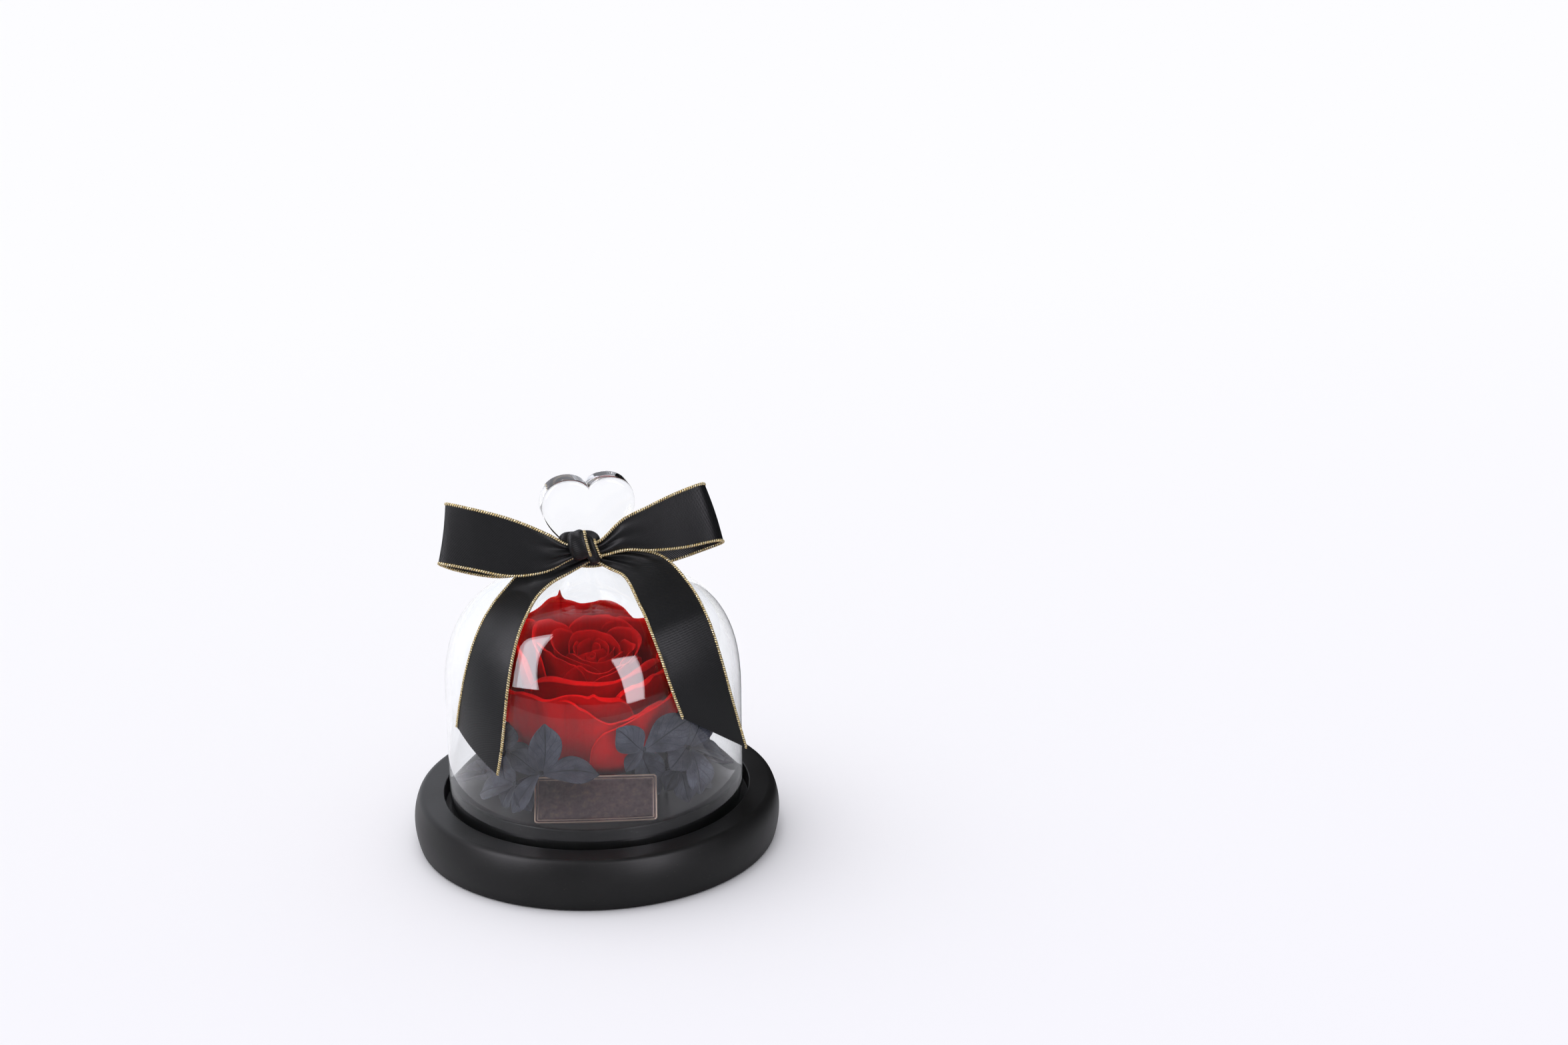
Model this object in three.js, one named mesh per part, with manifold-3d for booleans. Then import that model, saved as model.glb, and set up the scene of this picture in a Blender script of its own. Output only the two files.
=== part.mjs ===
// A preserved rose under a glass dome with a heart-shaped handle, on a turned wooden base.
// Millimetres, +Z up. The origin is the centre of the base's underside, on the dome's axis.
// The heart faces -Y, and the bow and the plate face a little to its left.
import * as THREE from 'three';
import { mergeVertices } from 'three/addons/utils/BufferGeometryUtils.js';
import Module from 'manifold-3d';

const wasm = await Module();
wasm.setup();

// Two pieces that touch keep this gap.
const gap = 0.3;

const base = {
  widest: 75,
  sideBulgeLow: 1.8,
  sideBulgeHigh: 2.6,
  ringTop: 21,
  grooveOuter: 62.5,
  grooveFloor: 14,
  plinthRadius: 56.5,
  plinthTop: 27,
  segments: 40,
};

const dome = {
  radius: 60,
  wall: 2.5,
  shoulder: 60.6,
  capHeight: 52.2,
  roundness: 0.71,
  neckFoot: 11,
  neckRadius: 6.4,
  neckTop: 127,
  segments: 32,
};

const heart = {
  tip: 119.5,
  notch: 150.2,
  top: 154.2,
  widestHeight: 143,
  halfWidth: 18.6,
  thickness: 11.6,
  bevel: 1.6,
};

const plate = {
  width: 47.5,
  height: 19.5,
  thickness: 1.2,
  corner: 1.4,
  footDistance: 50.6,
  sideways: 0.9,
  leanBack: 45,
  turn: -11.7,
};

const rose = {
  petals: 24,
  footHeight: 36,
  footBack: 4.5,
  footSide: -1.5,
  tilt: 11,
  innerRadius: 4,
  petalThickness: 0.65,
  goldenAngle: 137.508,
  halfWidth: 64,
  stemRadius: 4.5,
};

const bow = {
  turn: -9.6,
  thickness: 0.8,
  glassClearance: 1.3,
  wrapBottom: 114.6,
  wrapTop: 124.2,
  wrapInside: 8,
};

const finishes = {
  wood: { color: '#2c2c2d', roughness: 0.45, metalness: 0 },
  glass: { color: '#f4f8fa', roughness: 0.02, metalness: 0, transparent: true, opacity: 0.25 },
  plate: { color: '#4a3f3a', roughness: 0.4, metalness: 0.9 },
  petal: { color: '#a8050c', roughness: 0.75, metalness: 0 },
  stem: { color: '#3b3a24', roughness: 0.8, metalness: 0 },
  sepal: { color: '#303238', roughness: 0.7, metalness: 0 },
  ribbon: { color: '#1b1c1e', roughness: 0.35, metalness: 0 },
};

const degrees = Math.PI / 180;
const model = new THREE.Group();

function named(name, geometry, finish, parent = model) {
  const mesh = new THREE.Mesh(geometry, new THREE.MeshStandardMaterial(finishes[finish]));
  mesh.name = name;
  parent.add(mesh);
  return mesh;
}

// Keeps only the positions and welds the corners that faces share.
function welded(geometry) {
  geometry.deleteAttribute('normal');
  geometry.deleteAttribute('uv');
  const closed = mergeVertices(geometry, 1e-4);
  closed.computeVertexNormals();
  return closed;
}

function toManifold(geometry) {
  const mesh = new wasm.Mesh({
    numProp: 3,
    vertProperties: Float32Array.from(geometry.attributes.position.array),
    triVerts: Uint32Array.from(geometry.index.array),
  });
  return new wasm.Manifold(mesh);
}

function joined(geometries) {
  const whole = geometries.map(toManifold).reduce((sum, solid) => sum.add(solid));
  const { vertProperties, triVerts } = whole.getMesh();
  const geometry = new THREE.BufferGeometry();
  geometry.setAttribute('position', new THREE.BufferAttribute(vertProperties, 3));
  geometry.setIndex(new THREE.BufferAttribute(triVerts, 1));
  geometry.computeVertexNormals();
  return geometry;
}

// Turns a profile of [radius, height] points about the Z axis.
function turned(profile, segments) {
  const points = profile.map(([radius, height]) => new THREE.Vector2(radius, height));
  const geometry = new THREE.LatheGeometry(points, segments);
  geometry.rotateX(Math.PI / 2);
  return welded(geometry);
}

// A thin closed solid on a surface: a flat box whose sides u and v run over the surface from 0
// to 1, and whose thickness stands half on each side of it.
function sheetSolid(surface, thickness, across, along) {
  const geometry = new THREE.BoxGeometry(1, 1, 1, across, along, 1);
  const position = geometry.attributes.position;
  const step = 1e-3;
  for (let i = 0; i < position.count; i += 1) {
    const u = position.getX(i) + 0.5;
    const v = position.getY(i) + 0.5;
    const alongU = surface(Math.min(u + step, 1), v).sub(surface(Math.max(u - step, 0), v));
    const alongV = surface(u, Math.min(v + step, 1)).sub(surface(u, Math.max(v - step, 0)));
    const normal = alongU.cross(alongV).normalize();
    const point = surface(u, v).addScaledVector(normal, position.getZ(i) * thickness);
    position.setXYZ(i, point.x, point.y, point.z);
  }
  return welded(geometry);
}

// The side bows out to its widest at half height; a groove for the glass runs round a raised plinth.
function baseGeometry() {
  const rows = 6;
  const profile = [[0, 0]];
  for (let k = 0; k <= rows; k += 1) {
    const side = (2 * k) / rows - 1;
    const bulge = side < 0 ? base.sideBulgeLow : base.sideBulgeHigh;
    profile.push([base.widest - bulge * side ** 2, (base.ringTop * k) / rows]);
  }
  profile.push([base.grooveOuter, base.ringTop]);
  profile.push([base.grooveOuter, base.grooveFloor]);
  profile.push([base.plinthRadius, base.grooveFloor]);
  profile.push([base.plinthRadius, base.plinthTop]);
  profile.push([0, base.plinthTop]);
  return turned(profile, base.segments);
}

// One wall of the dome from its top (angle 90) down to its shoulder (angle 0), then to its rim.
function domeWall(inset, topAngle, rows) {
  const radius = dome.radius - inset;
  const height = dome.capHeight - inset;
  const points = [];
  for (let k = 0; k <= rows; k += 1) {
    const angle = topAngle * (1 - k / rows) * degrees;
    points.push([
      radius * Math.max(Math.cos(angle), 0) ** dome.roundness,
      dome.shoulder + height * Math.sin(angle) ** dome.roundness,
    ]);
  }
  return points;
}

function domeShell() {
  const rimHeight = base.grooveFloor + gap;
  const inner = domeWall(dome.wall, 90, 7);
  const outer = domeWall(0, 84, 7).reverse();
  inner[0][0] = 0;
  const neck = [
    [dome.neckFoot * 0.8, dome.shoulder + dome.capHeight + 0.3],
    [dome.neckRadius + 0.6, dome.shoulder + dome.capHeight + 2.6],
    [dome.neckRadius, dome.shoulder + dome.capHeight + 6],
    [dome.neckRadius - 1.4, dome.neckTop],
    [0, dome.neckTop + 1],
  ];
  const profile = [...inner, [dome.radius - dome.wall, rimHeight], [dome.radius, rimHeight], ...outer, ...neck];
  return turned(profile, dome.segments);
}

// A heart of four curves, from its tip up each side to the lobes and the notch between them.
function heartGeometry() {
  const w = heart.halfWidth - heart.bevel;
  const tip = heart.tip + heart.bevel;
  const notch = heart.notch - heart.bevel;
  const top = heart.top - heart.bevel;
  const outline = new THREE.Shape();
  outline.moveTo(0, tip);
  outline.bezierCurveTo(w * 0.4, tip + 6, w, heart.widestHeight - 10, w, heart.widestHeight);
  outline.bezierCurveTo(w, top + 1.4, w * 0.2, top + 2.2, 0, notch);
  outline.bezierCurveTo(-w * 0.2, top + 2.2, -w, top + 1.4, -w, heart.widestHeight);
  outline.bezierCurveTo(-w, heart.widestHeight - 10, -w * 0.4, tip + 6, 0, tip);
  const geometry = new THREE.ExtrudeGeometry(outline, {
    depth: heart.thickness - 2 * heart.bevel,
    bevelThickness: heart.bevel,
    bevelSize: heart.bevel,
    bevelSegments: 1,
    curveSegments: 8,
  });
  geometry.translate(0, 0, -(heart.thickness / 2 - heart.bevel));
  geometry.rotateX(Math.PI / 2);
  return welded(geometry);
}

// A rounded rectangle whose lower edge stands on the plinth, leaning back on the florets.
function plateGeometry() {
  const bevel = 0.2;
  const w = plate.width / 2 - bevel;
  const h = plate.height - bevel;
  const c = plate.corner;
  const outline = new THREE.Shape();
  outline.moveTo(-w + c, bevel);
  outline.lineTo(w - c, bevel);
  outline.quadraticCurveTo(w, bevel, w, bevel + c);
  outline.lineTo(w, h - c);
  outline.quadraticCurveTo(w, h, w - c, h);
  outline.lineTo(-w + c, h);
  outline.quadraticCurveTo(-w, h, -w, h - c);
  outline.lineTo(-w, bevel + c);
  outline.quadraticCurveTo(-w, bevel, -w + c, bevel);
  const geometry = new THREE.ExtrudeGeometry(outline, {
    depth: plate.thickness - 2 * bevel,
    bevelThickness: bevel,
    bevelSize: bevel,
    bevelSegments: 1,
    curveSegments: 2,
  });
  geometry.translate(0, 0, bevel - plate.thickness);
  geometry.rotateX((90 - plate.leanBack) * degrees);
  return welded(geometry);
}

// The cup that a petal of layer s lies on, as [radius, height] at t from its foot (0) to its rim
// (1): s is 0 at the heart of the rose and 1 for the outermost guard petals.
function cup(s, t) {
  const rim = rose.innerRadius + 11 * s + 26 * s ** 2;
  const top = 44.5 + 7 * s - 9.5 * s ** 6;
  const foot = [1.8 + 5.5 * s, 11 * (1 - s)];
  const belly = rim - 0.4 - 1.6 * s;
  const curve = [
    foot,
    [foot[0] + 0.85 * (belly - foot[0]), foot[1] + 3 - 2 * s],
    [belly, foot[1] + 0.35 * (top - foot[1])],
    [rim, top],
  ];
  const weights = [(1 - t) ** 3, 3 * t * (1 - t) ** 2, 3 * t ** 2 * (1 - t), t ** 3];
  return [0, 1].map((axis) => curve.reduce((sum, point, k) => sum + weights[k] * point[axis], 0));
}

// A petal is narrow at its foot and widest under its rim, whose corners are rounded off.
function petalGeometry(index) {
  const s = index / (rose.petals - 1);
  const middle = index * rose.goldenAngle * degrees;
  const surface = (u, v) => {
    const side = 2 * u - 1;
    const t = v * (1 - 0.16 * side ** 4);
    const spread = rose.halfWidth * (0.26 + 0.74 * Math.sin(Math.min(v / 0.75, 1) * Math.PI / 2));
    const angle = middle + side * spread * degrees;
    const [radius, height] = cup(s, t);
    const lifted = height + 0.7 * Math.sin(3 * angle + index) * v ** 3;
    return new THREE.Vector3(radius * Math.cos(angle), radius * Math.sin(angle), lifted);
  };
  return sheetSolid(surface, rose.petalThickness, 5, 4);
}

function budGeometry() {
  return turned([[0, 11.6], [1.2, 12.2], [2.6, 20], [3.1, 34], [2.6, 42], [1.4, 44.2], [0, 44.6]], 10);
}

// A short upright stem on the plinth carries the tilted, tapering seat of the petals.
function stemGeometry(roseGroup) {
  const foot = base.plinthTop + gap;
  const seat = turned([[0, -3], [4.2, -2.4], [5.6, 0], [4.4, 4], [2.4, 8], [0.9, 11], [0, 11.2]], 10);
  seat.applyMatrix4(roseGroup.matrix);
  const stem = turned([[0, foot], [rose.stemRadius, foot], [rose.stemRadius, foot + 9], [0, foot + 9]], 10);
  stem.translate(rose.footSide, rose.footBack, 0);
  return joined([stem, seat]);
}

// Four rounded sepals in one star-shaped blade, on a stalk that comes down to the plinth. The
// floret's face looks out from the axis and up by the angle lean. Two sepals stand a little higher
// than the two between them.
function floretGeometry({ around, distance, height, lean, spin, size }, index) {
  const perSepal = 5;
  const blade = new THREE.CylinderGeometry(1, 1, 1, 4 * perSepal);
  blade.rotateX(Math.PI / 2);
  const position = blade.attributes.position;
  for (let i = 0; i < position.count; i += 1) {
    const reach = Math.hypot(position.getX(i), position.getY(i));
    const angle = Math.atan2(position.getY(i), position.getX(i));
    const sepal = Math.round((2 * angle) / Math.PI);
    const length = size * (1 + 0.14 * Math.cos(2.4 * sepal + index));
    const outline = 0.3 + 0.7 * Math.abs(Math.cos(2 * angle)) ** 0.55;
    const radius = length * outline * reach;
    const turn = angle + spin * degrees;
    const lifted = (sepal % 2 ? 0.04 : 0.14) * radius;
    position.setXYZ(i, radius * Math.cos(turn), radius * Math.sin(turn), lifted + position.getZ(i));
  }
  const place = new THREE.Matrix4().makeRotationZ(around * degrees);
  place.multiply(new THREE.Matrix4().makeTranslation(0, -distance, height));
  place.multiply(new THREE.Matrix4().makeRotationX((90 - lean) * degrees));
  blade.applyMatrix4(place);

  const head = new THREE.Vector3().applyMatrix4(place);
  const inward = 1 - 4 / distance;
  const foot = new THREE.Vector3(head.x * inward, head.y * inward, base.plinthTop + 2 * gap);
  const stalk = new THREE.CylinderGeometry(0.8, 0.8, head.distanceTo(foot), 5);
  const direction = head.clone().sub(foot).normalize();
  stalk.applyQuaternion(new THREE.Quaternion().setFromUnitVectors(new THREE.Vector3(0, 1, 0), direction));
  stalk.translate(...head.clone().add(foot).multiplyScalar(0.5).toArray());
  return joined([welded(blade), welded(stalk)]);
}

// Florets against the rose, then the lower ones that lie on the plinth between them.
const florets = [
  { around: -27, distance: 38.2, height: 49.5, lean: -30, spin: 88, size: 16 },
  { around: 22, distance: 38.4, height: 48, lean: -26, spin: 100, size: 15.5 },
  { around: 62, distance: 44.5, height: 43.5, lean: 10, spin: 95, size: 14.5 },
  { around: 107, distance: 44.5, height: 44, lean: 12, spin: 60, size: 15 },
  { around: 152, distance: 44, height: 44, lean: 8, spin: 10, size: 15 },
  { around: 197, distance: 44.5, height: 43.5, lean: 14, spin: 40, size: 14.5 },
  { around: 242, distance: 44, height: 44, lean: 8, spin: 70, size: 15 },
  { around: 288, distance: 44.5, height: 43.5, lean: 12, spin: 35, size: 14.5 },
  { around: 40, distance: 45, height: 31.2, lean: 78, spin: 30, size: 10.5 },
  { around: 85, distance: 45, height: 31, lean: 80, spin: 55, size: 11 },
  { around: 130, distance: 45, height: 31.2, lean: 78, spin: 15, size: 11 },
  { around: 175, distance: 45, height: 31, lean: 80, spin: 70, size: 11 },
  { around: 220, distance: 45, height: 31.2, lean: 78, spin: 35, size: 11 },
  { around: 265, distance: 45, height: 31, lean: 80, spin: 10, size: 11 },
  { around: 309, distance: 45, height: 31.2, lean: 78, spin: 50, size: 10.5 },
];

// The two edges of each ribbon strip, [x, y, z] in the bow's own turn: x to the right along the
// bow, y back through it. Each pair of points is one place along the strip.
const strips = {
  ribbon_left_loop: {
    lower: [[-8.9, -12.6, 122.8], [-17, -12.8, 118.8], [-31, -11, 116.8], [-47, -7.5, 119.2], [-59.6, -1.5, 119.8],
      [-53, 3.6, 114.8], [-36, 3.2, 111.4], [-19, 0.4, 114.4], [-10, -1.6, 115.6]],
    upper: [[-8.9, -12.4, 129.6], [-15, -12, 133.4], [-30, -10, 140], [-47, -6.5, 144.2], [-55.6, -0.5, 144.2],
      [-49, 4.4, 139.2], [-34, 4, 134.4], [-18, 1.6, 128.6], [-10, -0.6, 123.4]],
  },
  ribbon_right_loop: {
    lower: [[4.9, -12.6, 124.6], [14.5, -12.8, 126.6], [25, -11.4, 125.6], [38, -8, 125.2], [51.5, -3, 125.8],
      [53.8, 1.5, 123.4], [45.5, 4.8, 119], [29, 3.4, 114.6], [16, 0.8, 114.8], [10, -1.6, 116]],
    upper: [[4.9, -12.4, 131], [13.7, -12, 139], [23, -10.4, 143], [34, -7, 147], [45.5, -2, 149.4],
      [46.6, 2, 147.4], [39.5, 5.2, 142.4], [26, 4, 136.4], [14.5, 2, 129.6], [10, -0.6, 123.6]],
  },
  ribbon_left_tail: {
    lower: [[-1.4, -9.6, 119.2], [-8, -11.4, 115.6], [-15, -14, 113.4], [-21, -22, 111.4], [-26, -33.5, 105.6],
      [-30, -43, 96], [-32.6, -48, 86], [-34.4, -49.6, 73], [-36.4, -48.8, 59], [-38.5, -47.2, 47.6]],
    upper: [[-8.6, -8.4, 124.6], [-16, -7.4, 124.2], [-24.5, -5, 118.6], [-32.5, -7, 111.2], [-39.4, -17, 105.8],
      [-44.8, -26, 97], [-48.6, -30.5, 87], [-51.6, -31.2, 76], [-53.2, -30, 68], [-54.4, -28.4, 60.6]],
  },
  ribbon_right_tail: {
    lower: [[1.6, -9.8, 119.2], [8, -12, 116.4], [14, -18, 113.6], [18.6, -30, 109.4], [23.7, -43, 101],
      [28.3, -50, 88], [31.1, -51.6, 79.2], [34.1, -50.6, 69.8]],
    upper: [[7.6, -8.6, 123.6], [18, -7.4, 124.6], [29, -7.4, 121.4], [38.6, -16.5, 113.4], [45.4, -30.5, 103.6],
      [50.2, -37.6, 88.5], [53.8, -38.2, 73], [59.6, -34, 48.8]],
  },
};

// Moves a point that is too near the glass out to the given clearance from the dome.
function clearOfGlass(point, clearance) {
  const power = 2 / dome.roundness;
  const rise = Math.max(point.z - dome.shoulder, 0) / (dome.capHeight + clearance);
  const across = Math.hypot(point.x, point.y) / (dome.radius + clearance);
  const reach = (rise ** power + across ** power) ** (1 / power);
  if (reach >= 1) {
    return point;
  }
  const height = point.z > dome.shoulder ? dome.shoulder + (point.z - dome.shoulder) / reach : point.z;
  return new THREE.Vector3(point.x / reach, point.y / reach, height);
}

function stripGeometry({ lower, upper }) {
  const [lowerEdge, upperEdge] = [lower, upper].map(
    (points) => new THREE.CatmullRomCurve3(points.map((point) => new THREE.Vector3(...point))),
  );
  const surface = (u, v) => {
    const point = lowerEdge.getPoint(v).lerp(upperEdge.getPoint(v), u);
    return clearOfGlass(point, bow.glassClearance);
  };
  return sheetSolid(surface, bow.thickness, 3, 14);
}

function knotGeometry() {
  const geometry = new THREE.SphereGeometry(1, 10, 8);
  geometry.scale(6.2, 3.6, 6.8);
  geometry.translate(-2, -12.8, 127.2);
  return welded(geometry);
}

function wrapGeometry() {
  const outside = bow.wrapInside + bow.thickness;
  const profile = [
    [bow.wrapInside, bow.wrapTop],
    [bow.wrapInside, bow.wrapBottom],
    [outside, bow.wrapBottom],
    [outside + 0.4, (bow.wrapBottom + bow.wrapTop) / 2],
    [outside, bow.wrapTop],
    [bow.wrapInside, bow.wrapTop],
  ];
  return turned(profile, 16);
}

named('wooden_base', baseGeometry(), 'wood');
named('glass_dome', joined([domeShell(), heartGeometry()]), 'glass');

const plateGroup = new THREE.Group();
plateGroup.rotation.z = plate.turn * degrees;
model.add(plateGroup);
const plateMesh = named('metal_plate', plateGeometry(), 'plate', plateGroup);
const plateLift = plate.thickness * Math.cos(plate.leanBack * degrees);
plateMesh.position.set(plate.sideways, -plate.footDistance, base.plinthTop + gap + plateLift);

const roseGroup = new THREE.Group();
roseGroup.position.set(rose.footSide, rose.footBack, rose.footHeight);
roseGroup.rotation.set(rose.tilt * degrees, 0, 0);
roseGroup.updateMatrix();
model.add(roseGroup);
named('rose_stem', stemGeometry(roseGroup), 'stem');
named('rose_bud', budGeometry(), 'petal', roseGroup);
for (let i = 0; i < rose.petals; i += 1) {
  named(`rose_petal_${String(i + 1).padStart(2, '0')}`, petalGeometry(i), 'petal', roseGroup);
}

florets.forEach((floret, i) => {
  named(`hydrangea_floret_${String(i + 1).padStart(2, '0')}`, floretGeometry(floret, i), 'sepal');
});

const bowGroup = new THREE.Group();
bowGroup.rotation.z = bow.turn * degrees;
model.add(bowGroup);
named('ribbon_knot', knotGeometry(), 'ribbon', bowGroup);
named('ribbon_neck_wrap', wrapGeometry(), 'ribbon', bowGroup);
for (const [name, strip] of Object.entries(strips)) {
  named(name, stripGeometry(strip), 'ribbon', bowGroup);
}

export default model;
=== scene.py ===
import bpy
import bmesh
import numpy as np
from mathutils import Matrix


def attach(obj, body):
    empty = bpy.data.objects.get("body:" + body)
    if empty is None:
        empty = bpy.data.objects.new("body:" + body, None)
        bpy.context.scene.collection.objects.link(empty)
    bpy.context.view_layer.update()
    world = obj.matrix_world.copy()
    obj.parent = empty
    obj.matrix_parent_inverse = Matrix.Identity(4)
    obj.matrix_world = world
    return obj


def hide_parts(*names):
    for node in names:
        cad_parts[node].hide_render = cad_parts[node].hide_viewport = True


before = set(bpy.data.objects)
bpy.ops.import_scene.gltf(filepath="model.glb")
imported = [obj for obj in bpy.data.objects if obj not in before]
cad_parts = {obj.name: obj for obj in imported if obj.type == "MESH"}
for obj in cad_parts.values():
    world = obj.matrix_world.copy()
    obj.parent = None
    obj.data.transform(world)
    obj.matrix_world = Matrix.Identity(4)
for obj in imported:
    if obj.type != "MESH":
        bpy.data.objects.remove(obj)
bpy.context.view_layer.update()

# A preserved rose under a glass dome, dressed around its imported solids.
# Dictionaries hold millimetres and degrees; makePiece() turns every mesh to metres.
mm = 0.001
chance = np.random.default_rng(7)


def linear(code):
    # sRGB hex to the linear colour that a shader socket takes
    value = np.array([int(code[k:k + 2], 16) for k in (1, 3, 5)]) / 255
    value = np.where(value <= 0.04045, value / 12.92, ((value + 0.055) / 1.055) ** 2.4)
    return (*value.tolist(), 1.0)


def addNode(tree, kind, inputs=(), stops=(), output=0, **settings):
    # adds one node and gives back one of its outputs. Inputs come by name, or as a list in the
    # node's own order: each is a value, a hex colour or the output to link. Stops fill a ramp
    node = tree.nodes.new("ShaderNode" + kind)
    for name, value in settings.items():
        setattr(node, name, value)
    for name, value in inputs.items() if isinstance(inputs, dict) else enumerate(inputs):
        if isinstance(value, bpy.types.NodeSocket):
            tree.links.new(value, node.inputs[name])
        else:
            node.inputs[name].default_value = linear(value) if isinstance(value, str) else value
    for k, (place, code) in enumerate(stops):
        ramp = node.color_ramp.elements
        stop = ramp[k] if k < 2 else ramp.new(place)
        stop.position = place
        stop.color = linear(code)
    return node.outputs[output]


def newMaterial(name, **surface):
    # a principled material; each value that is the same all over is set on its own socket
    material = bpy.data.materials.new(name)
    material.use_nodes = True
    shader = material.node_tree.nodes["Principled BSDF"]
    for key, value in surface.items():
        shader.inputs[key.replace("_", " ")].default_value = linear(value) if isinstance(value, str) else value
    return material, material.node_tree


def joinSurface(material, **outputs):
    # links each output to the principled shader's socket of that name
    tree = material.node_tree
    for key, value in outputs.items():
        tree.links.new(value, tree.nodes["Principled BSDF"].inputs[key.replace("_", " ")])
    return material


def gridFaces(rows, columns, wrapRows=False, wrapColumns=False):
    # quads between neighbouring points of a grid, the last joined to the first where it wraps
    i, j = np.meshgrid(np.arange(rows - (not wrapRows)), np.arange(columns - (not wrapColumns)), indexing="ij")
    nextI, nextJ = (i + 1) % rows, (j + 1) % columns
    corners = [i * columns + j, i * columns + nextJ, nextI * columns + nextJ, nextI * columns + j]
    return np.stack(corners, -1).reshape(-1, 4)


def gridNormals(points):
    # unit normals of a grid: the cross product of its two directions of travel
    normals = np.cross(np.gradient(points, axis=1), np.gradient(points, axis=0))
    return normals / np.maximum(np.linalg.norm(normals, axis=-1, keepdims=True), 1e-9)


def thickSheet(points, thickness, uv, tone=0.0):
    # a closed shell on an open grid: the grid moved half the thickness each way along its normals,
    # with a row of quads round the rim; the thickness may be a grid too, and the tone may be two
    # grids, for the face that the normals point to and for the other
    rows, columns = points.shape[:2]
    half = np.broadcast_to(np.asarray(thickness, float), (rows, columns))[..., None] / 2 * gridNormals(points)
    count = rows * columns
    front = gridFaces(rows, columns)
    index = np.arange(count).reshape(rows, columns)
    rim = np.concatenate([index[0, :-1], index[:-1, -1], index[-1, :0:-1], index[:0:-1, 0]])
    after = np.roll(rim, -1)
    sides = np.stack([rim, rim + count, after + count, after], -1)
    return {
        "points": np.concatenate([(points + half).reshape(-1, 3), (points - half).reshape(-1, 3)]),
        "faces": np.concatenate([front, front[:, ::-1] + count, sides]),
        "uv": np.tile(uv.reshape(-1, 2), (2, 1)),
        "tone": np.broadcast_to(tone, (2, rows, columns)).astype(float).ravel(),
    }


def closedGrid(points, uv=None, tone=None, wrapRows=False):
    # a grid whose rows are rings; rings that shrink to a point are welded in makePiece()
    rows, columns = points.shape[:2]
    return {
        "points": points.reshape(-1, 3),
        "faces": gridFaces(rows, columns, wrapRows, True),
        "uv": np.zeros((rows * columns, 2)) if uv is None else uv.reshape(-1, 2),
        "tone": np.zeros(rows * columns) if tone is None else tone.ravel(),
    }


def ringOf(radius, angle, height):
    # points at (radius cos, radius sin, height), as whole arrays
    return np.stack(np.broadcast_arrays(radius * np.cos(angle), radius * np.sin(angle), height), -1)


def fullTurn(count):
    # angles at even steps of a full circle
    return np.linspace(0, 2 * np.pi, count, endpoint=False)


def lathe(profile, segments):
    # each (radius, height) of the profile turned through a full circle about Z
    return closedGrid(ringOf(profile[:, :1], fullTurn(segments), profile[:, 1:]))


def unit(vectors):
    # each vector over its own length
    return vectors / np.linalg.norm(vectors, axis=-1, keepdims=True)


def frames(path):
    # unit side and up vectors along a path, the side kept as level as the path allows
    tangent = unit(np.gradient(path, axis=0))
    steep = np.abs(tangent[:, 2:]) > 0.98
    side = unit(np.cross(tangent, np.where(steep, [[1.0, 0, 0]], [[0, 0, 1.0]])))
    return side, np.cross(side, tangent)


def tube(path, radius, segments, closed=False):
    # circles of the radius carried along a path. An open tube's ends shrink to a point; for their
    # frames, the doubled end points are drawn a hundredth of a step apart
    radii = np.full(len(path), float(radius))
    spaced = path
    if not closed:
        path = np.concatenate([path[:1], path, path[-1:]])
        radii = np.r_[0, radii, 0]
        spaced = path.copy()
        spaced[0] += (path[1] - path[2]) / 100
        spaced[-1] += (path[-2] - path[-3]) / 100
    side, up = frames(spaced)
    angle = fullTurn(segments)[None, :, None]
    circle = np.cos(angle) * side[:, None] + np.sin(angle) * up[:, None]
    return closedGrid(path[:, None] + radii[:, None, None] * circle, wrapRows=closed)


def catmullRom(points, places):
    # a centripetal Catmull-Rom curve through the points, read at places from 0 to 1
    points = np.asarray(points, float)
    points = np.concatenate([[2 * points[0] - points[1]], points, [2 * points[-1] - points[-2]]])
    spans = len(points) - 3
    spot = np.clip(np.asarray(places), 0, 1) * spans
    k = np.minimum(spot.astype(int), spans - 1)
    w = (spot - k)[:, None]
    p0, p1, p2, p3 = (points[k + n] for n in range(4))
    d0, d1, d2 = (np.sqrt(np.linalg.norm(b - a, axis=1, keepdims=True)) for a, b in ((p0, p1), (p1, p2), (p2, p3)))
    t1 = ((p1 - p0) / d0 - (p2 - p0) / (d0 + d1) + (p2 - p1) / d1) * d1
    t2 = ((p2 - p1) / d1 - (p3 - p1) / (d1 + d2) + (p3 - p2) / d2) * d1
    return p1 + t1 * w + (-3 * p1 + 3 * p2 - 2 * t1 - t2) * w ** 2 + (2 * p1 - 2 * p2 + t1 + t2) * w ** 3


def travelled(line):
    # the length of a polyline up to each of its points
    return np.r_[0, np.cumsum(np.linalg.norm(np.diff(line, axis=0), axis=1))]


def evenly(line, count):
    # points at even steps of a polyline's length, and that length
    along = travelled(line)
    wanted = np.linspace(0, along[-1], count)
    return np.stack([np.interp(wanted, along, axis) for axis in line.T], -1), along[-1]


def bellSmooth(lines, reach, spread, **padding):
    # each line of numbers averaged with a bell of weights, exp(-(step / spread) squared)
    bell = np.exp(-(np.arange(-reach, reach + 1) / spread) ** 2)
    return [np.convolve(np.pad(line, reach, **padding), bell / bell.sum(), mode="valid") for line in lines]


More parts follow.
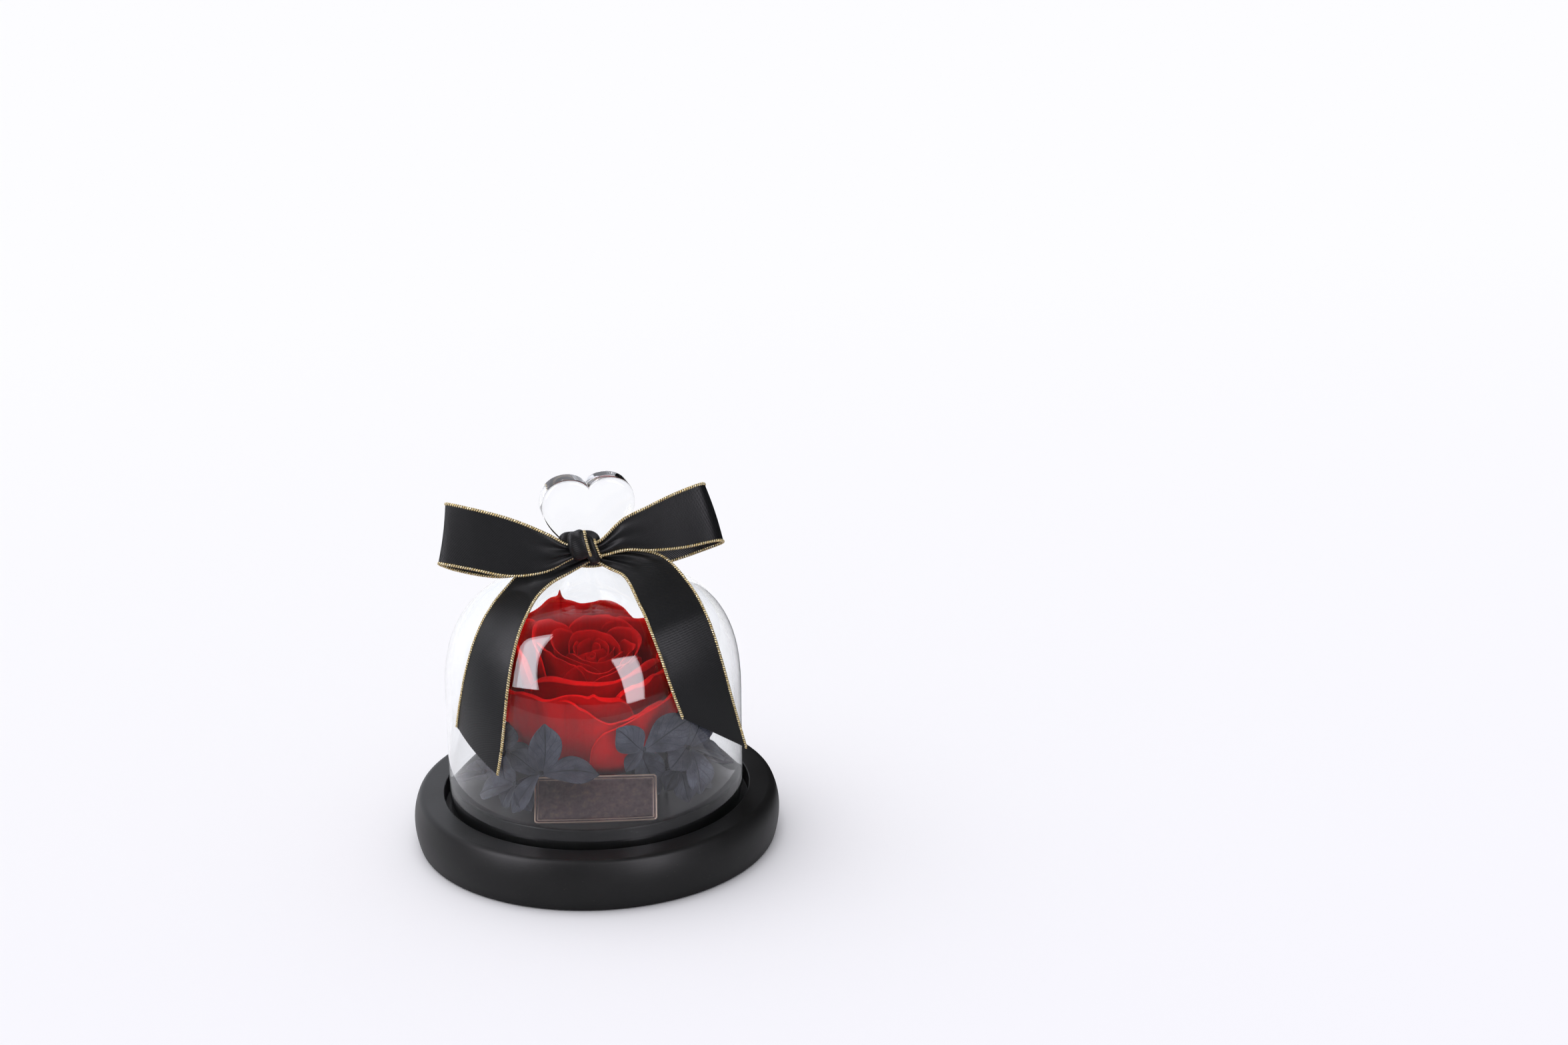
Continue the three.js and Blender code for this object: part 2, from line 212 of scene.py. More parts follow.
def softProfile(corners):
    # straight runs between (x, y, rounding) corners; a corner becomes a quadratic arc that starts
    # and ends its rounding away, with a point just outside each end that keeps the flats flat
    steps, outside = 6, 0.15
    corners = np.asarray(corners, float)
    line = [corners[:1, :2]]
    t = np.linspace(0, 1, steps + 1)[:, None]
    for before, here, after in zip(corners[:-2], corners[1:-1], corners[2:]):
        corner, rounding = here[:2], here[2]
        if rounding == 0:
            line.append(corner[None])
            continue
        back, on = (unit(other[:2] - corner) * rounding for other in (before, after))
        start, end = corner + back, corner + on
        arc = (1 - t) ** 2 * start + 2 * t * (1 - t) * corner + t ** 2 * end
        line += [(start + back * outside)[None], arc, (end + on * outside)[None]]
    line.append(corners[-1:, :2])
    return np.concatenate(line)


def weldMesh(mesh, rings=()):
    # closes the rings with one face each, merges points that coincide and turns faces outwards
    work = bmesh.new()
    work.from_mesh(mesh)
    work.verts.ensure_lookup_table()
    for ring in rings:
        work.faces.new([work.verts[k] for k in ring])
    bmesh.ops.remove_doubles(work, verts=work.verts, dist=2e-6)
    bmesh.ops.recalc_face_normals(work, faces=work.faces)
    work.to_mesh(mesh)
    work.free()


def newObject(name, data):
    # an object in the scene that shows the data
    thing = bpy.data.objects.new(name, data)
    bpy.context.scene.collection.objects.link(thing)
    return thing


def makePiece(name, parts, material, nodes=(), weld=False):
    # joins the parts into one mesh in metres, with its UV map and its tone attribute
    offsets = np.cumsum([0] + [len(part["points"]) for part in parts])
    points, uv, tone = (np.concatenate([part[key] for part in parts]) for key in ("points", "uv", "tone"))
    faces = np.concatenate([part["faces"] + offset for part, offset in zip(parts, offsets)])
    mesh = bpy.data.meshes.new(name)
    mesh.from_pydata((points * mm).tolist(), [], faces.tolist())
    mesh.polygons.foreach_set("use_smooth", np.ones(len(mesh.polygons), bool))
    corner = np.zeros(len(mesh.loops), int)
    mesh.loops.foreach_get("vertex_index", corner)
    mesh.uv_layers.new(name="UVMap").data.foreach_set("uv", uv[corner].astype(np.float32).ravel())
    mesh.attributes.new("tone", "FLOAT", "POINT").data.foreach_set("value", tone.astype(np.float32))
    if weld:
        weldMesh(mesh)
    mesh.materials.append(material)
    piece = newObject(name, mesh)
    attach(piece, "root")
    if nodes:
        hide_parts(*nodes)
    return piece


def turnedPoints(points, angle, axis="Z"):
    # turns points, or a grid of them, about an axis through the origin
    return points @ np.array(Matrix.Rotation(np.radians(angle), 3, axis)).T


camera = {
    "place": (-157.8, -935.3, 455.2),
    "right": (0.9682, -0.2499, -0.0089),
    "up": (0.0887, 0.3099, 0.9466),
    "forward": (0.2338, 0.9173, -0.3222),
    "lens": 57.61,
    "sensorWidth": 36,
    "clipEnd": 100000,
}
studio = {
    "floorHalf": 14000,
    "floorDrop": -0.1,
    "tableTurn": -27,
    "tableFront": 460,
    "tableBack": 900,
    "tableHalfWidth": 1400,
    # the corners of two tall soft boxes and of two black flags at the right, and their radiance
    "windows": {
        "windowLeft": ([(-1302, -382, 238), (-1120, -850, 330), (-510, 120, 1560), (-800, 160, 1230)], 8.3),
        "windowRight": ([(259, -1000, 51), (529, -1000, 74), (706, -1000, 1390), (175, -1000, 1253)], 7.3),
        "flagRight": ([(70, 62, 1), (190, -128, 1), (190, -128, 320), (70, 62, 320)], 0.02),
        "flagHigh": ([(80, 200, 122), (150, -128, 122), (150, -128, 320), (80, 200, 320)], 0.02),
    },
    "skyFill": 0.42,
    "skyKey": 2.6,
    "skyFocus": 5.0,
    "keyFrom": (-0.2, 0.14, 0.96),
    "studioDark": 0.11,
    "studioBright": 1.05,
    "backdrop": 0.97,
    # the paper's brightness in mirror images, through glass and through four walls of it; the
    # stretches from front to back over which it pales, its mirror image clears and it brightens
    # behind the dome; and from how many to how many walls this last one grows
    "mirroredPaper": 0.56,
    "paperThroughGlass": 1.05,
    "paperThroughDome": 1.12,
    "paperPales": (-250, 900),
    "mirrorClears": (-100, 150),
    "domeBrightens": (180, 270),
    "wallsCrossed": (2, 4),
    # how far up the sky, as a sine, the studio behind goes from dark to bright
    "sweep": (0.3, 0.75),
}


def stageSheet(name, points, faces, material):
    # a flat stage piece, which isn't part of the object
    mesh = bpy.data.meshes.new(name)
    mesh.from_pydata((np.array(points, float) * mm).tolist(), [], faces)
    mesh.materials.append(material)
    sheet = newObject(name, mesh)
    return sheet


def makeCamera():
    data = bpy.data.cameras.new("camera")
    data.lens = camera["lens"]
    data.sensor_width = camera["sensorWidth"]
    data.clip_end = camera["clipEnd"] * mm
    axes = np.array([camera["right"], camera["up"], -np.array(camera["forward"])]).T
    world = Matrix(axes.tolist()).to_4x4()
    world.translation = np.array(camera["place"]) * mm
    body = newObject("camera", data)
    body.matrix_world = world
    bpy.context.scene.camera = body


def seamlessPaper():
    # white seamless paper, matte, a little greyer towards the camera, where less light falls on it;
    # darker where glass mirrors its near part, and brighter where glass stands before it: tint x
    # mirror's share x glass's share x the share that grows from two walls to four
    material, tree = newMaterial("seamlessPaper", Roughness=0.9, Specular_IOR_Level=0.0)
    along = addNode(tree, "SeparateXYZ", [addNode(tree, "TexCoord", output="Object")], output="Y")
    pales, clears, brightens = (np.array(studio[key]) * mm for key in ("paperPales", "mirrorClears", "domeBrightens"))
    back = addNode(tree, "MapRange", [along, *pales])
    tint = addNode(tree, "ValToRGB", [back], stops=[(0.0, "#eeedf4"), (1.0, "#f2f2f4")])
    mirrored = addNode(tree, "LightPath", output="Glossy Depth")
    through = mirrored.node.outputs["Transmission Depth"]
    nearer = addNode(tree, "MapRange", [along, *clears, studio["mirroredPaper"], 1.0])
    dim = addNode(tree, "MapRange", [mirrored, 0.0, 1.0, 1.0, nearer])
    lift = addNode(tree, "MapRange", [through, 0.0, 1.0, 1.0, studio["paperThroughGlass"]])
    behind = addNode(tree, "MapRange", [along, *brightens, 1.0, studio["paperThroughDome"]])
    deep = addNode(tree, "MapRange", [through, *studio["wallsCrossed"], 1.0, behind])
    lifted = addNode(tree, "Math", [lift, deep], operation="MULTIPLY")
    amount = addNode(tree, "Math", [dim, lifted], operation="MULTIPLY")
    shown = addNode(tree, "VectorMath", {0: tint, "Scale": amount}, operation="SCALE")
    return joinSurface(material, Base_Color=shown)


def rectangle(half, front, back):
    # four corners at the floor's height, from the left in front to the left at the back
    drop = studio["floorDrop"]
    return np.array([[-half, front, drop], [half, front, drop], [half, back, drop], [-half, back, drop]], float)


def makeFloor():
    # the table is the stretch of the floor that the glass mirrors; the rest is the same paper
    # around it, with a hole of the table's outline, and is kept out of mirror images
    far = studio["floorHalf"]
    table = rectangle(studio["tableHalfWidth"], -studio["tableFront"], studio["tableBack"])
    table = turnedPoints(table, studio["tableTurn"])
    paper = seamlessPaper()
    stageSheet("table", table, [(0, 1, 2, 3)], paper)
    ring = [(k, (k + 1) % 4, (k + 1) % 4 + 4, k + 4) for k in range(4)]
    stageSheet("floor", np.concatenate([rectangle(far, -far, far), table]), ring, paper).visible_glossy = False


def makeWindows():
    # soft boxes and flags that light and shade nothing matt: only glossy surfaces and the glass
    # show their mirror image
    for name, (corners, radiance) in studio["windows"].items():
        material = bpy.data.materials.new(name)
        material.use_nodes = True
        tree = material.node_tree
        glow = addNode(tree, "Emission", ["#f4f0f8", radiance])
        tree.links.new(glow, tree.nodes["Material Output"].inputs["Surface"])
        box = stageSheet(name, corners, [(0, 1, 2, 3)], material)
        box.visible_camera = box.visible_diffuse = box.visible_shadow = False
        # the low flag isn't seen through the dome, the high one is mirrored inside the heart
        box.visible_transmission = name != "flagRight"


def makeSky():
    # soft light from all over the sky with more of it from above and behind; mirror images and the
    # view through glass see the studio instead, dark in front and with a white sweep behind, and
    # the camera sees a pale backdrop. The light is fill + key x max(0, direction . key) ^ focus
    world = bpy.data.worlds.new("studio")
    bpy.context.scene.world = world
    world.use_nodes = True
    tree = world.node_tree
    direction = addNode(tree, "TexCoord", output="Generated")
    facing = addNode(tree, "VectorMath", [direction, studio["keyFrom"]], operation="DOT_PRODUCT", output="Value")
    lit = addNode(tree, "Math", [facing, 0.0], operation="MAXIMUM")
    curve = addNode(tree, "Math", [lit, studio["skyFocus"]], operation="POWER")
    strength = addNode(tree, "Math", [curve, studio["skyKey"], studio["skyFill"]], operation="MULTIPLY_ADD")
    light = addNode(tree, "Background", ["#ffffff", strength])
    back = addNode(tree, "SeparateXYZ", [direction], output="Y")
    sweep = addNode(tree, "MapRange", [back, *studio["sweep"], studio["studioDark"], studio["studioBright"]])
    dark = addNode(tree, "Background", ["#f4f6ff", sweep])
    pale = addNode(tree, "Background", ["#ffffff", studio["backdrop"]])
    ray = addNode(tree, "LightPath").node.outputs
    clear = addNode(tree, "Math", [ray["Is Glossy Ray"], ray["Is Transmission Ray"]], operation="MAXIMUM")
    first = addNode(tree, "Math", [ray["Diffuse Depth"], 0.5], operation="LESS_THAN")
    optical = addNode(tree, "Math", [clear, first], operation="MULTIPLY")
    turned = addNode(tree, "Math", [ray["Glossy Depth"], 0.5], operation="GREATER_THAN")
    seen = addNode(tree, "MixShader", [turned, pale, dark])
    around = addNode(tree, "MixShader", [optical, light, seen])
    shown = addNode(tree, "MixShader", [ray["Is Camera Ray"], around, pale])
    tree.links.new(shown, tree.nodes["World Output"].inputs["Surface"])


makeCamera()
makeFloor()
makeWindows()
makeSky()
bpy.context.scene.view_settings.view_transform = "Standard"
bpy.context.scene.cycles.max_bounces = 24
bpy.context.scene.cycles.transmission_bounces = 20
bpy.context.scene.cycles.glossy_bounces = 6
bpy.context.scene.cycles.diffuse_bounces = 5
bpy.context.scene.cycles.sample_clamp_indirect = 8
print("camera, floor and light are set")


base = {
    "widest": 75,
    "bulgeLow": 1.8,
    "bulgeHigh": 2.6,
    "ringTop": 21,
    "grooveOuter": 62.5,
    "grooveFloor": 14,
    "plinthRadius": 56.5,
    "plinthTop": 27,
    "segments": 192,
}


def lacqueredWood():
    # turned beech under black satin lacquer: dark and even, a soft wide highlight, fine open
    # pores that show through the film, and a few specks of dust
    material, tree = newMaterial("blackLacqueredBeech", Roughness=0.45, IOR=1.48, Specular_IOR_Level=0.36)
    place = addNode(tree, "TexCoord", output="Object")
    # pores are 0.5 mm wide and some 8 mm long, along the plank's X
    grain = addNode(tree, "Mapping", {"Vector": place, "Scale": (120, 1800, 1800)})
    pores = addNode(tree, "TexNoise", {"Vector": grain, "Scale": 1, "Detail": 4})
    # clouds in the film some 17 mm wide, and specks of 0.7 mm, coarser than real dust, so that they show
    cloud = addNode(tree, "TexNoise", {"Vector": place, "Scale": 60, "Detail": 3})
    specks = addNode(tree, "TexNoise", {"Vector": place, "Scale": 1500, "Detail": 1})
    colour = addNode(tree, "ValToRGB", [cloud], stops=[(0.3, "#151516"), (0.7, "#1b1b1c")])
    dust = addNode(tree, "ValToRGB", [specks], stops=[(0.74, "#000000"), (0.8, "#2c2a28")])
    both = addNode(tree, "Mix", {0: 1.0, 6: colour, 7: dust}, data_type="RGBA", blend_type="ADD", output=2)
    rough = addNode(tree, "MapRange", [cloud, 0.0, 1.0, 0.36, 0.5])
    relief = addNode(tree, "Bump", {"Height": pores, "Strength": 0.12, "Distance": 0.2 * mm})
    return joinSurface(material, Base_Color=both, Roughness=rough, Normal=relief)


def makeBase():
    # a profile from the middle of the underside over the bowed side, the ring's flat top, the
    # groove and the plinth to the middle of its top; the side stands back by bulge x height squared
    widest, top, low, high = base["widest"], base["ringTop"], base["bulgeLow"], base["bulgeHigh"]
    side = np.linspace(-0.82, 0.78, 18)
    bow = np.stack([widest - np.where(side < 0, low, high) * side ** 2, top * (side + 1) / 2, 0 * side], -1)
    corners = [
        (0, 0, 0), (widest - low, 0, 1.0), *bow, (widest - high, top, 1.7),
        (base["grooveOuter"], top, 0.6), (base["grooveOuter"], base["grooveFloor"], 0.5),
        (base["plinthRadius"], base["grooveFloor"], 0.5), (base["plinthRadius"], base["plinthTop"], 0.8),
        (0, base["plinthTop"], 0),
    ]
    turned = lathe(softProfile(corners), base["segments"])
    makePiece("woodenBase", [turned], lacqueredWood(), ["wooden_base"], weld=True)


makeBase()
print("base is turned")


dome = {
    "radius": 60,
    "wall": 2.5,
    "shoulder": 60.6,
    "capHeight": 52.2,
    "roundness": 0.71,
    "rim": 14.3,
    "capEnd": 67,
    "capPoints": 60,
    "neck": [(25, 111.35), (20.5, 112.45), (16.5, 113.5), (13.2, 114.7), (10.4, 116.2), (8.6, 118), (7.8, 119.8),
             (7.1, 122.2), (6.2, 124.6), (4.6, 126.8), (2.4, 127.8), (0, 128)],
    "ceilingFrom": 5.7,
    "ceiling": [(4, 119.5), (2, 120), (0, 120.1)],
    "smoothing": 3,
    "curvePoints": 900,
    "steps": 240,
    "ceilingPoints": 25,
    "rimPoints": 9,
    "segments": 180,
}
heart = {
    "tip": 119.5,
    "notch": 150.2,
    "top": 154.1,
    "widestHeight": 143,
    "halfWidth": 18.6,
    "thickness": 11.6,
    "round": 2.4,
    "centre": 139.5,
    "rows": 12,
    "curvePoints": 72,
}


def blownGlass():
    # clear soda glass, blown and polished: no colour in the thin wall, sharp reflections
    return newMaterial("clearBlownGlass", Roughness=0.0, IOR=1.47, Transmission_Weight=1.0, Base_Color="#fdfefe")[0]


def domeOutline():
    # the outer wall above the shoulder is a superellipse: radius x cos(angle) ^ roundness, and cap
    # height x sin(angle) ^ roundness. It runs on into the neck and is read at even steps; odd
    # reflections carry it past both ends while a bell of weights smooths it over the joint
    angles = np.radians(90 * (1 - np.cos(np.linspace(0, 1, dome["capPoints"]) * np.pi)) / 2)
    angles = angles[angles < np.radians(dome["capEnd"])]
    across, rise = np.cos(angles) ** dome["roundness"], np.sin(angles) ** dome["roundness"]
    cap = np.stack([dome["radius"] * across, dome["shoulder"] + dome["capHeight"] * rise], -1)
    curve = catmullRom(np.concatenate([cap, dome["neck"]]), np.linspace(0, 1, dome["curvePoints"]))
    line, length = evenly(curve, dome["steps"] + 1)
    spread = dome["smoothing"] / length * dome["steps"]
    smooth = np.stack(bellSmooth(line.T, int(3 * spread), spread, mode="reflect", reflect_type="odd"), -1)
    smooth[-1, 0] = 0
    return smooth


def domeParts():
    # the inner wall stands the wall's thickness in from the outer one along its normal, up to the
    # ceiling under the solid neck; then round the rim, up the outer wall and up the neck
    outer = domeOutline()
    ahead = unit(np.gradient(outer, axis=0))
    inner = outer + dome["wall"] * np.stack([-ahead[:, 1], ahead[:, 0]], -1)
    inner = inner[:np.argmax(inner[:, 0] < dome["ceilingFrom"])]
    ceiling = catmullRom(np.array([inner[-1], *dome["ceiling"]]), np.linspace(0, 1, dome["ceilingPoints"]))[1:]
    ceiling[-1, 0] = 0
    turn = np.linspace(0, np.pi, dome["rimPoints"])
    half = dome["wall"] / 2
    bead = np.stack([dome["radius"] - half - half * np.cos(turn), dome["rim"] + half * (1 - np.sin(turn))], -1)
    return lathe(np.concatenate([ceiling[::-1], inner[::-1], bead, outer]), dome["segments"])


def heartParts():
    # four cubic curves make the outline; rows of it, drawn in towards the centre, run from the
    # middle of the face over the rounded edge and the side to the middle of the back
    w, tip, notch, top, wide = (heart[key] for key in ("halfWidth", "tip", "notch", "top", "widestHeight"))
    right = [[(0, tip), (w * 0.4, tip + 6), (w, wide - 10), (w, wide)],
             [(w, wide), (w, top + 1.4), (w * 0.2, top + 2.2), (0, notch)]]
    left = [[(-x, z) for x, z in curve[::-1]] for curve in right[::-1]]
    t = np.linspace(0, 1, heart["curvePoints"], endpoint=False)[:, None]
    outline = np.concatenate([
        (1 - t) ** 3 * a + 3 * t * (1 - t) ** 2 * b + 3 * t ** 2 * (1 - t) * c + t ** 3 * d
        for a, b, c, d in np.array(right + left, float)
    ])
    half, rounding, rows = heart["thickness"] / 2, heart["round"], heart["rows"]
    arc = np.radians(np.linspace(0, 90, rows))
    inset = np.concatenate([w * np.linspace(1, 0.2, rows), rounding * (1 - np.sin(arc))])
    depth = np.concatenate([np.full(rows, half), half - rounding * (1 - np.cos(arc))])
    inset, depth = np.concatenate([inset, inset[::-1]]), np.concatenate([-depth, depth[::-1]])
    shrink = (1 - inset / w)[:, None]
    x = outline[:, 0] * shrink
    z = heart["centre"] + (outline[:, 1] - heart["centre"]) * shrink
    return closedGrid(np.stack(np.broadcast_arrays(x, depth[:, None], z), -1))


def makeDome():
    # dome and heart are fused by a union, so no wall of one stays inside the other
    glass = blownGlass()
    piece = makePiece("glassDome", [domeParts()], glass, ["glass_dome"], weld=True)
    tool = makePiece("heartTool", [heartParts()], glass, weld=True)
    union = piece.modifiers.new("union", "BOOLEAN")
    union.operation = "UNION"
    union.object = tool
    union.solver = "EXACT"
    fused = bpy.data.meshes.new_from_object(piece.evaluated_get(bpy.context.evaluated_depsgraph_get()))
    piece.modifiers.clear()
    piece.data = fused
    fused.polygons.foreach_set("use_smooth", np.ones(len(fused.polygons), bool))
    bpy.data.objects.remove(tool)


makeDome()
print("dome and heart are blown")


plate = {
    "width": 47.5,
    "height": 19.5,
    "thickness": 1.2,
    "corner": 1.4,
    "cornerPoints": 16,
    "footDistance": 50.6,
    "sideways": 0.9,
    "leanBack": 45,
    "turn": -11.7,
    "lift": 27.3,
    # back, side, outer raised line, channel, thin inner line and bare face, each row as its inset,
    # its height above the back and its tone
    "rows": [
        (9.7, 0, 0), (3, 0, 0), (0.25, 0, 0), (0, 0.2, 0.2), (0, 0.95, 0.5), (0.1, 1.2, 1), (0.3, 1.3, 1),
        (0.52, 1.2, 0.9), (0.66, 0.95, 0.1), (1.22, 0.93, 0), (1.32, 1.0, 0.5), (1.42, 1.12, 1), (1.52, 1.0, 0.5),
        (1.62, 0.9, 0), (2.4, 0.88, 0), (9.7, 0.88, 0),
    ],
}


def agedBronze():
    # cast bronze-coloured plate, darkened and rubbed back: brown-black face with cloudy mottling,
    # and brighter bare metal on the raised lines, which the tone attribute marks
    material, tree = newMaterial("agedBronze", Metallic=1.0, Roughness=0.4)
    place = addNode(tree, "TexCoord", output="Object")
    worn = addNode(tree, "Attribute", attribute_name="tone", output="Fac")
    # stains some 2.4 mm wide, and a casting grit of 0.4 mm
    cloud = addNode(tree, "TexNoise", {"Vector": place, "Scale": 420, "Detail": 8, "Roughness": 0.72})
    grit = addNode(tree, "TexNoise", {"Vector": place, "Scale": 2600, "Detail": 3})
    face = addNode(tree, "ValToRGB", [cloud], stops=[(0.3, "#5c504c"), (0.5, "#716264"), (0.72, "#8c776e")])
    rubbed = addNode(tree, "Math", [worn, cloud, -0.12], operation="MULTIPLY_ADD", use_clamp=True)
    mixed = addNode(tree, "Mix", {0: worn, 6: face, 7: "#d9c3b0"}, data_type="RGBA", output=2)
    rough = addNode(tree, "MapRange", [rubbed, 0.0, 1.0, 0.5, 0.22])
    relief = addNode(tree, "Bump", {"Height": grit, "Strength": 0.25, "Distance": 0.1 * mm})
    return joinSurface(material, Base_Color=mixed, Roughness=rough, Normal=relief)


def makePlate():
    # a rounded rectangle drawn in by each row's inset and raised by its height, leaned back on
    # its foot and turned about the dome's axis; a face of many corners closes it at each end
    inset, height, tone = (column[:, None] for column in np.array(plate["rows"], float).T)
    arc = np.radians(np.linspace(0, 90, plate["cornerPoints"]))
    quarter = np.stack([np.cos(arc), np.sin(arc)], -1)
    halves = np.array([plate["width"] / 2, plate["height"] / 2])
    corner = np.maximum(plate["corner"] - inset, 0.02)[..., None]
    loop = []
    for k, sign in enumerate([(1, 1), (-1, 1), (-1, -1), (1, -1)]):
        bend = quarter if k % 2 == 0 else quarter[::-1]
        loop.append((halves - inset[..., None] - corner + corner * bend) * np.array(sign))
    flat = np.concatenate(loop, 1)
    rows, columns = flat.shape[:2]
    points = np.stack(np.broadcast_arrays(flat[..., 0], plate["thickness"] - height, flat[..., 1] + halves[1]), -1)
    points = turnedPoints(points, -plate["leanBack"], "X")
    lift = plate["lift"] + plate["thickness"] * np.cos(np.radians(plate["leanBack"]))
    points = turnedPoints(points + [plate["sideways"], -plate["footDistance"], lift], plate["turn"])
    face = closedGrid(points, tone=np.repeat(tone, columns, 1))
    piece = makePiece("metalPlate", [face], agedBronze(), ["metal_plate"])
    weldMesh(piece.data, [range((rows - 1) * columns, rows * columns), range(columns - 1, -1, -1)])


makePlate()
print("plate is cast")


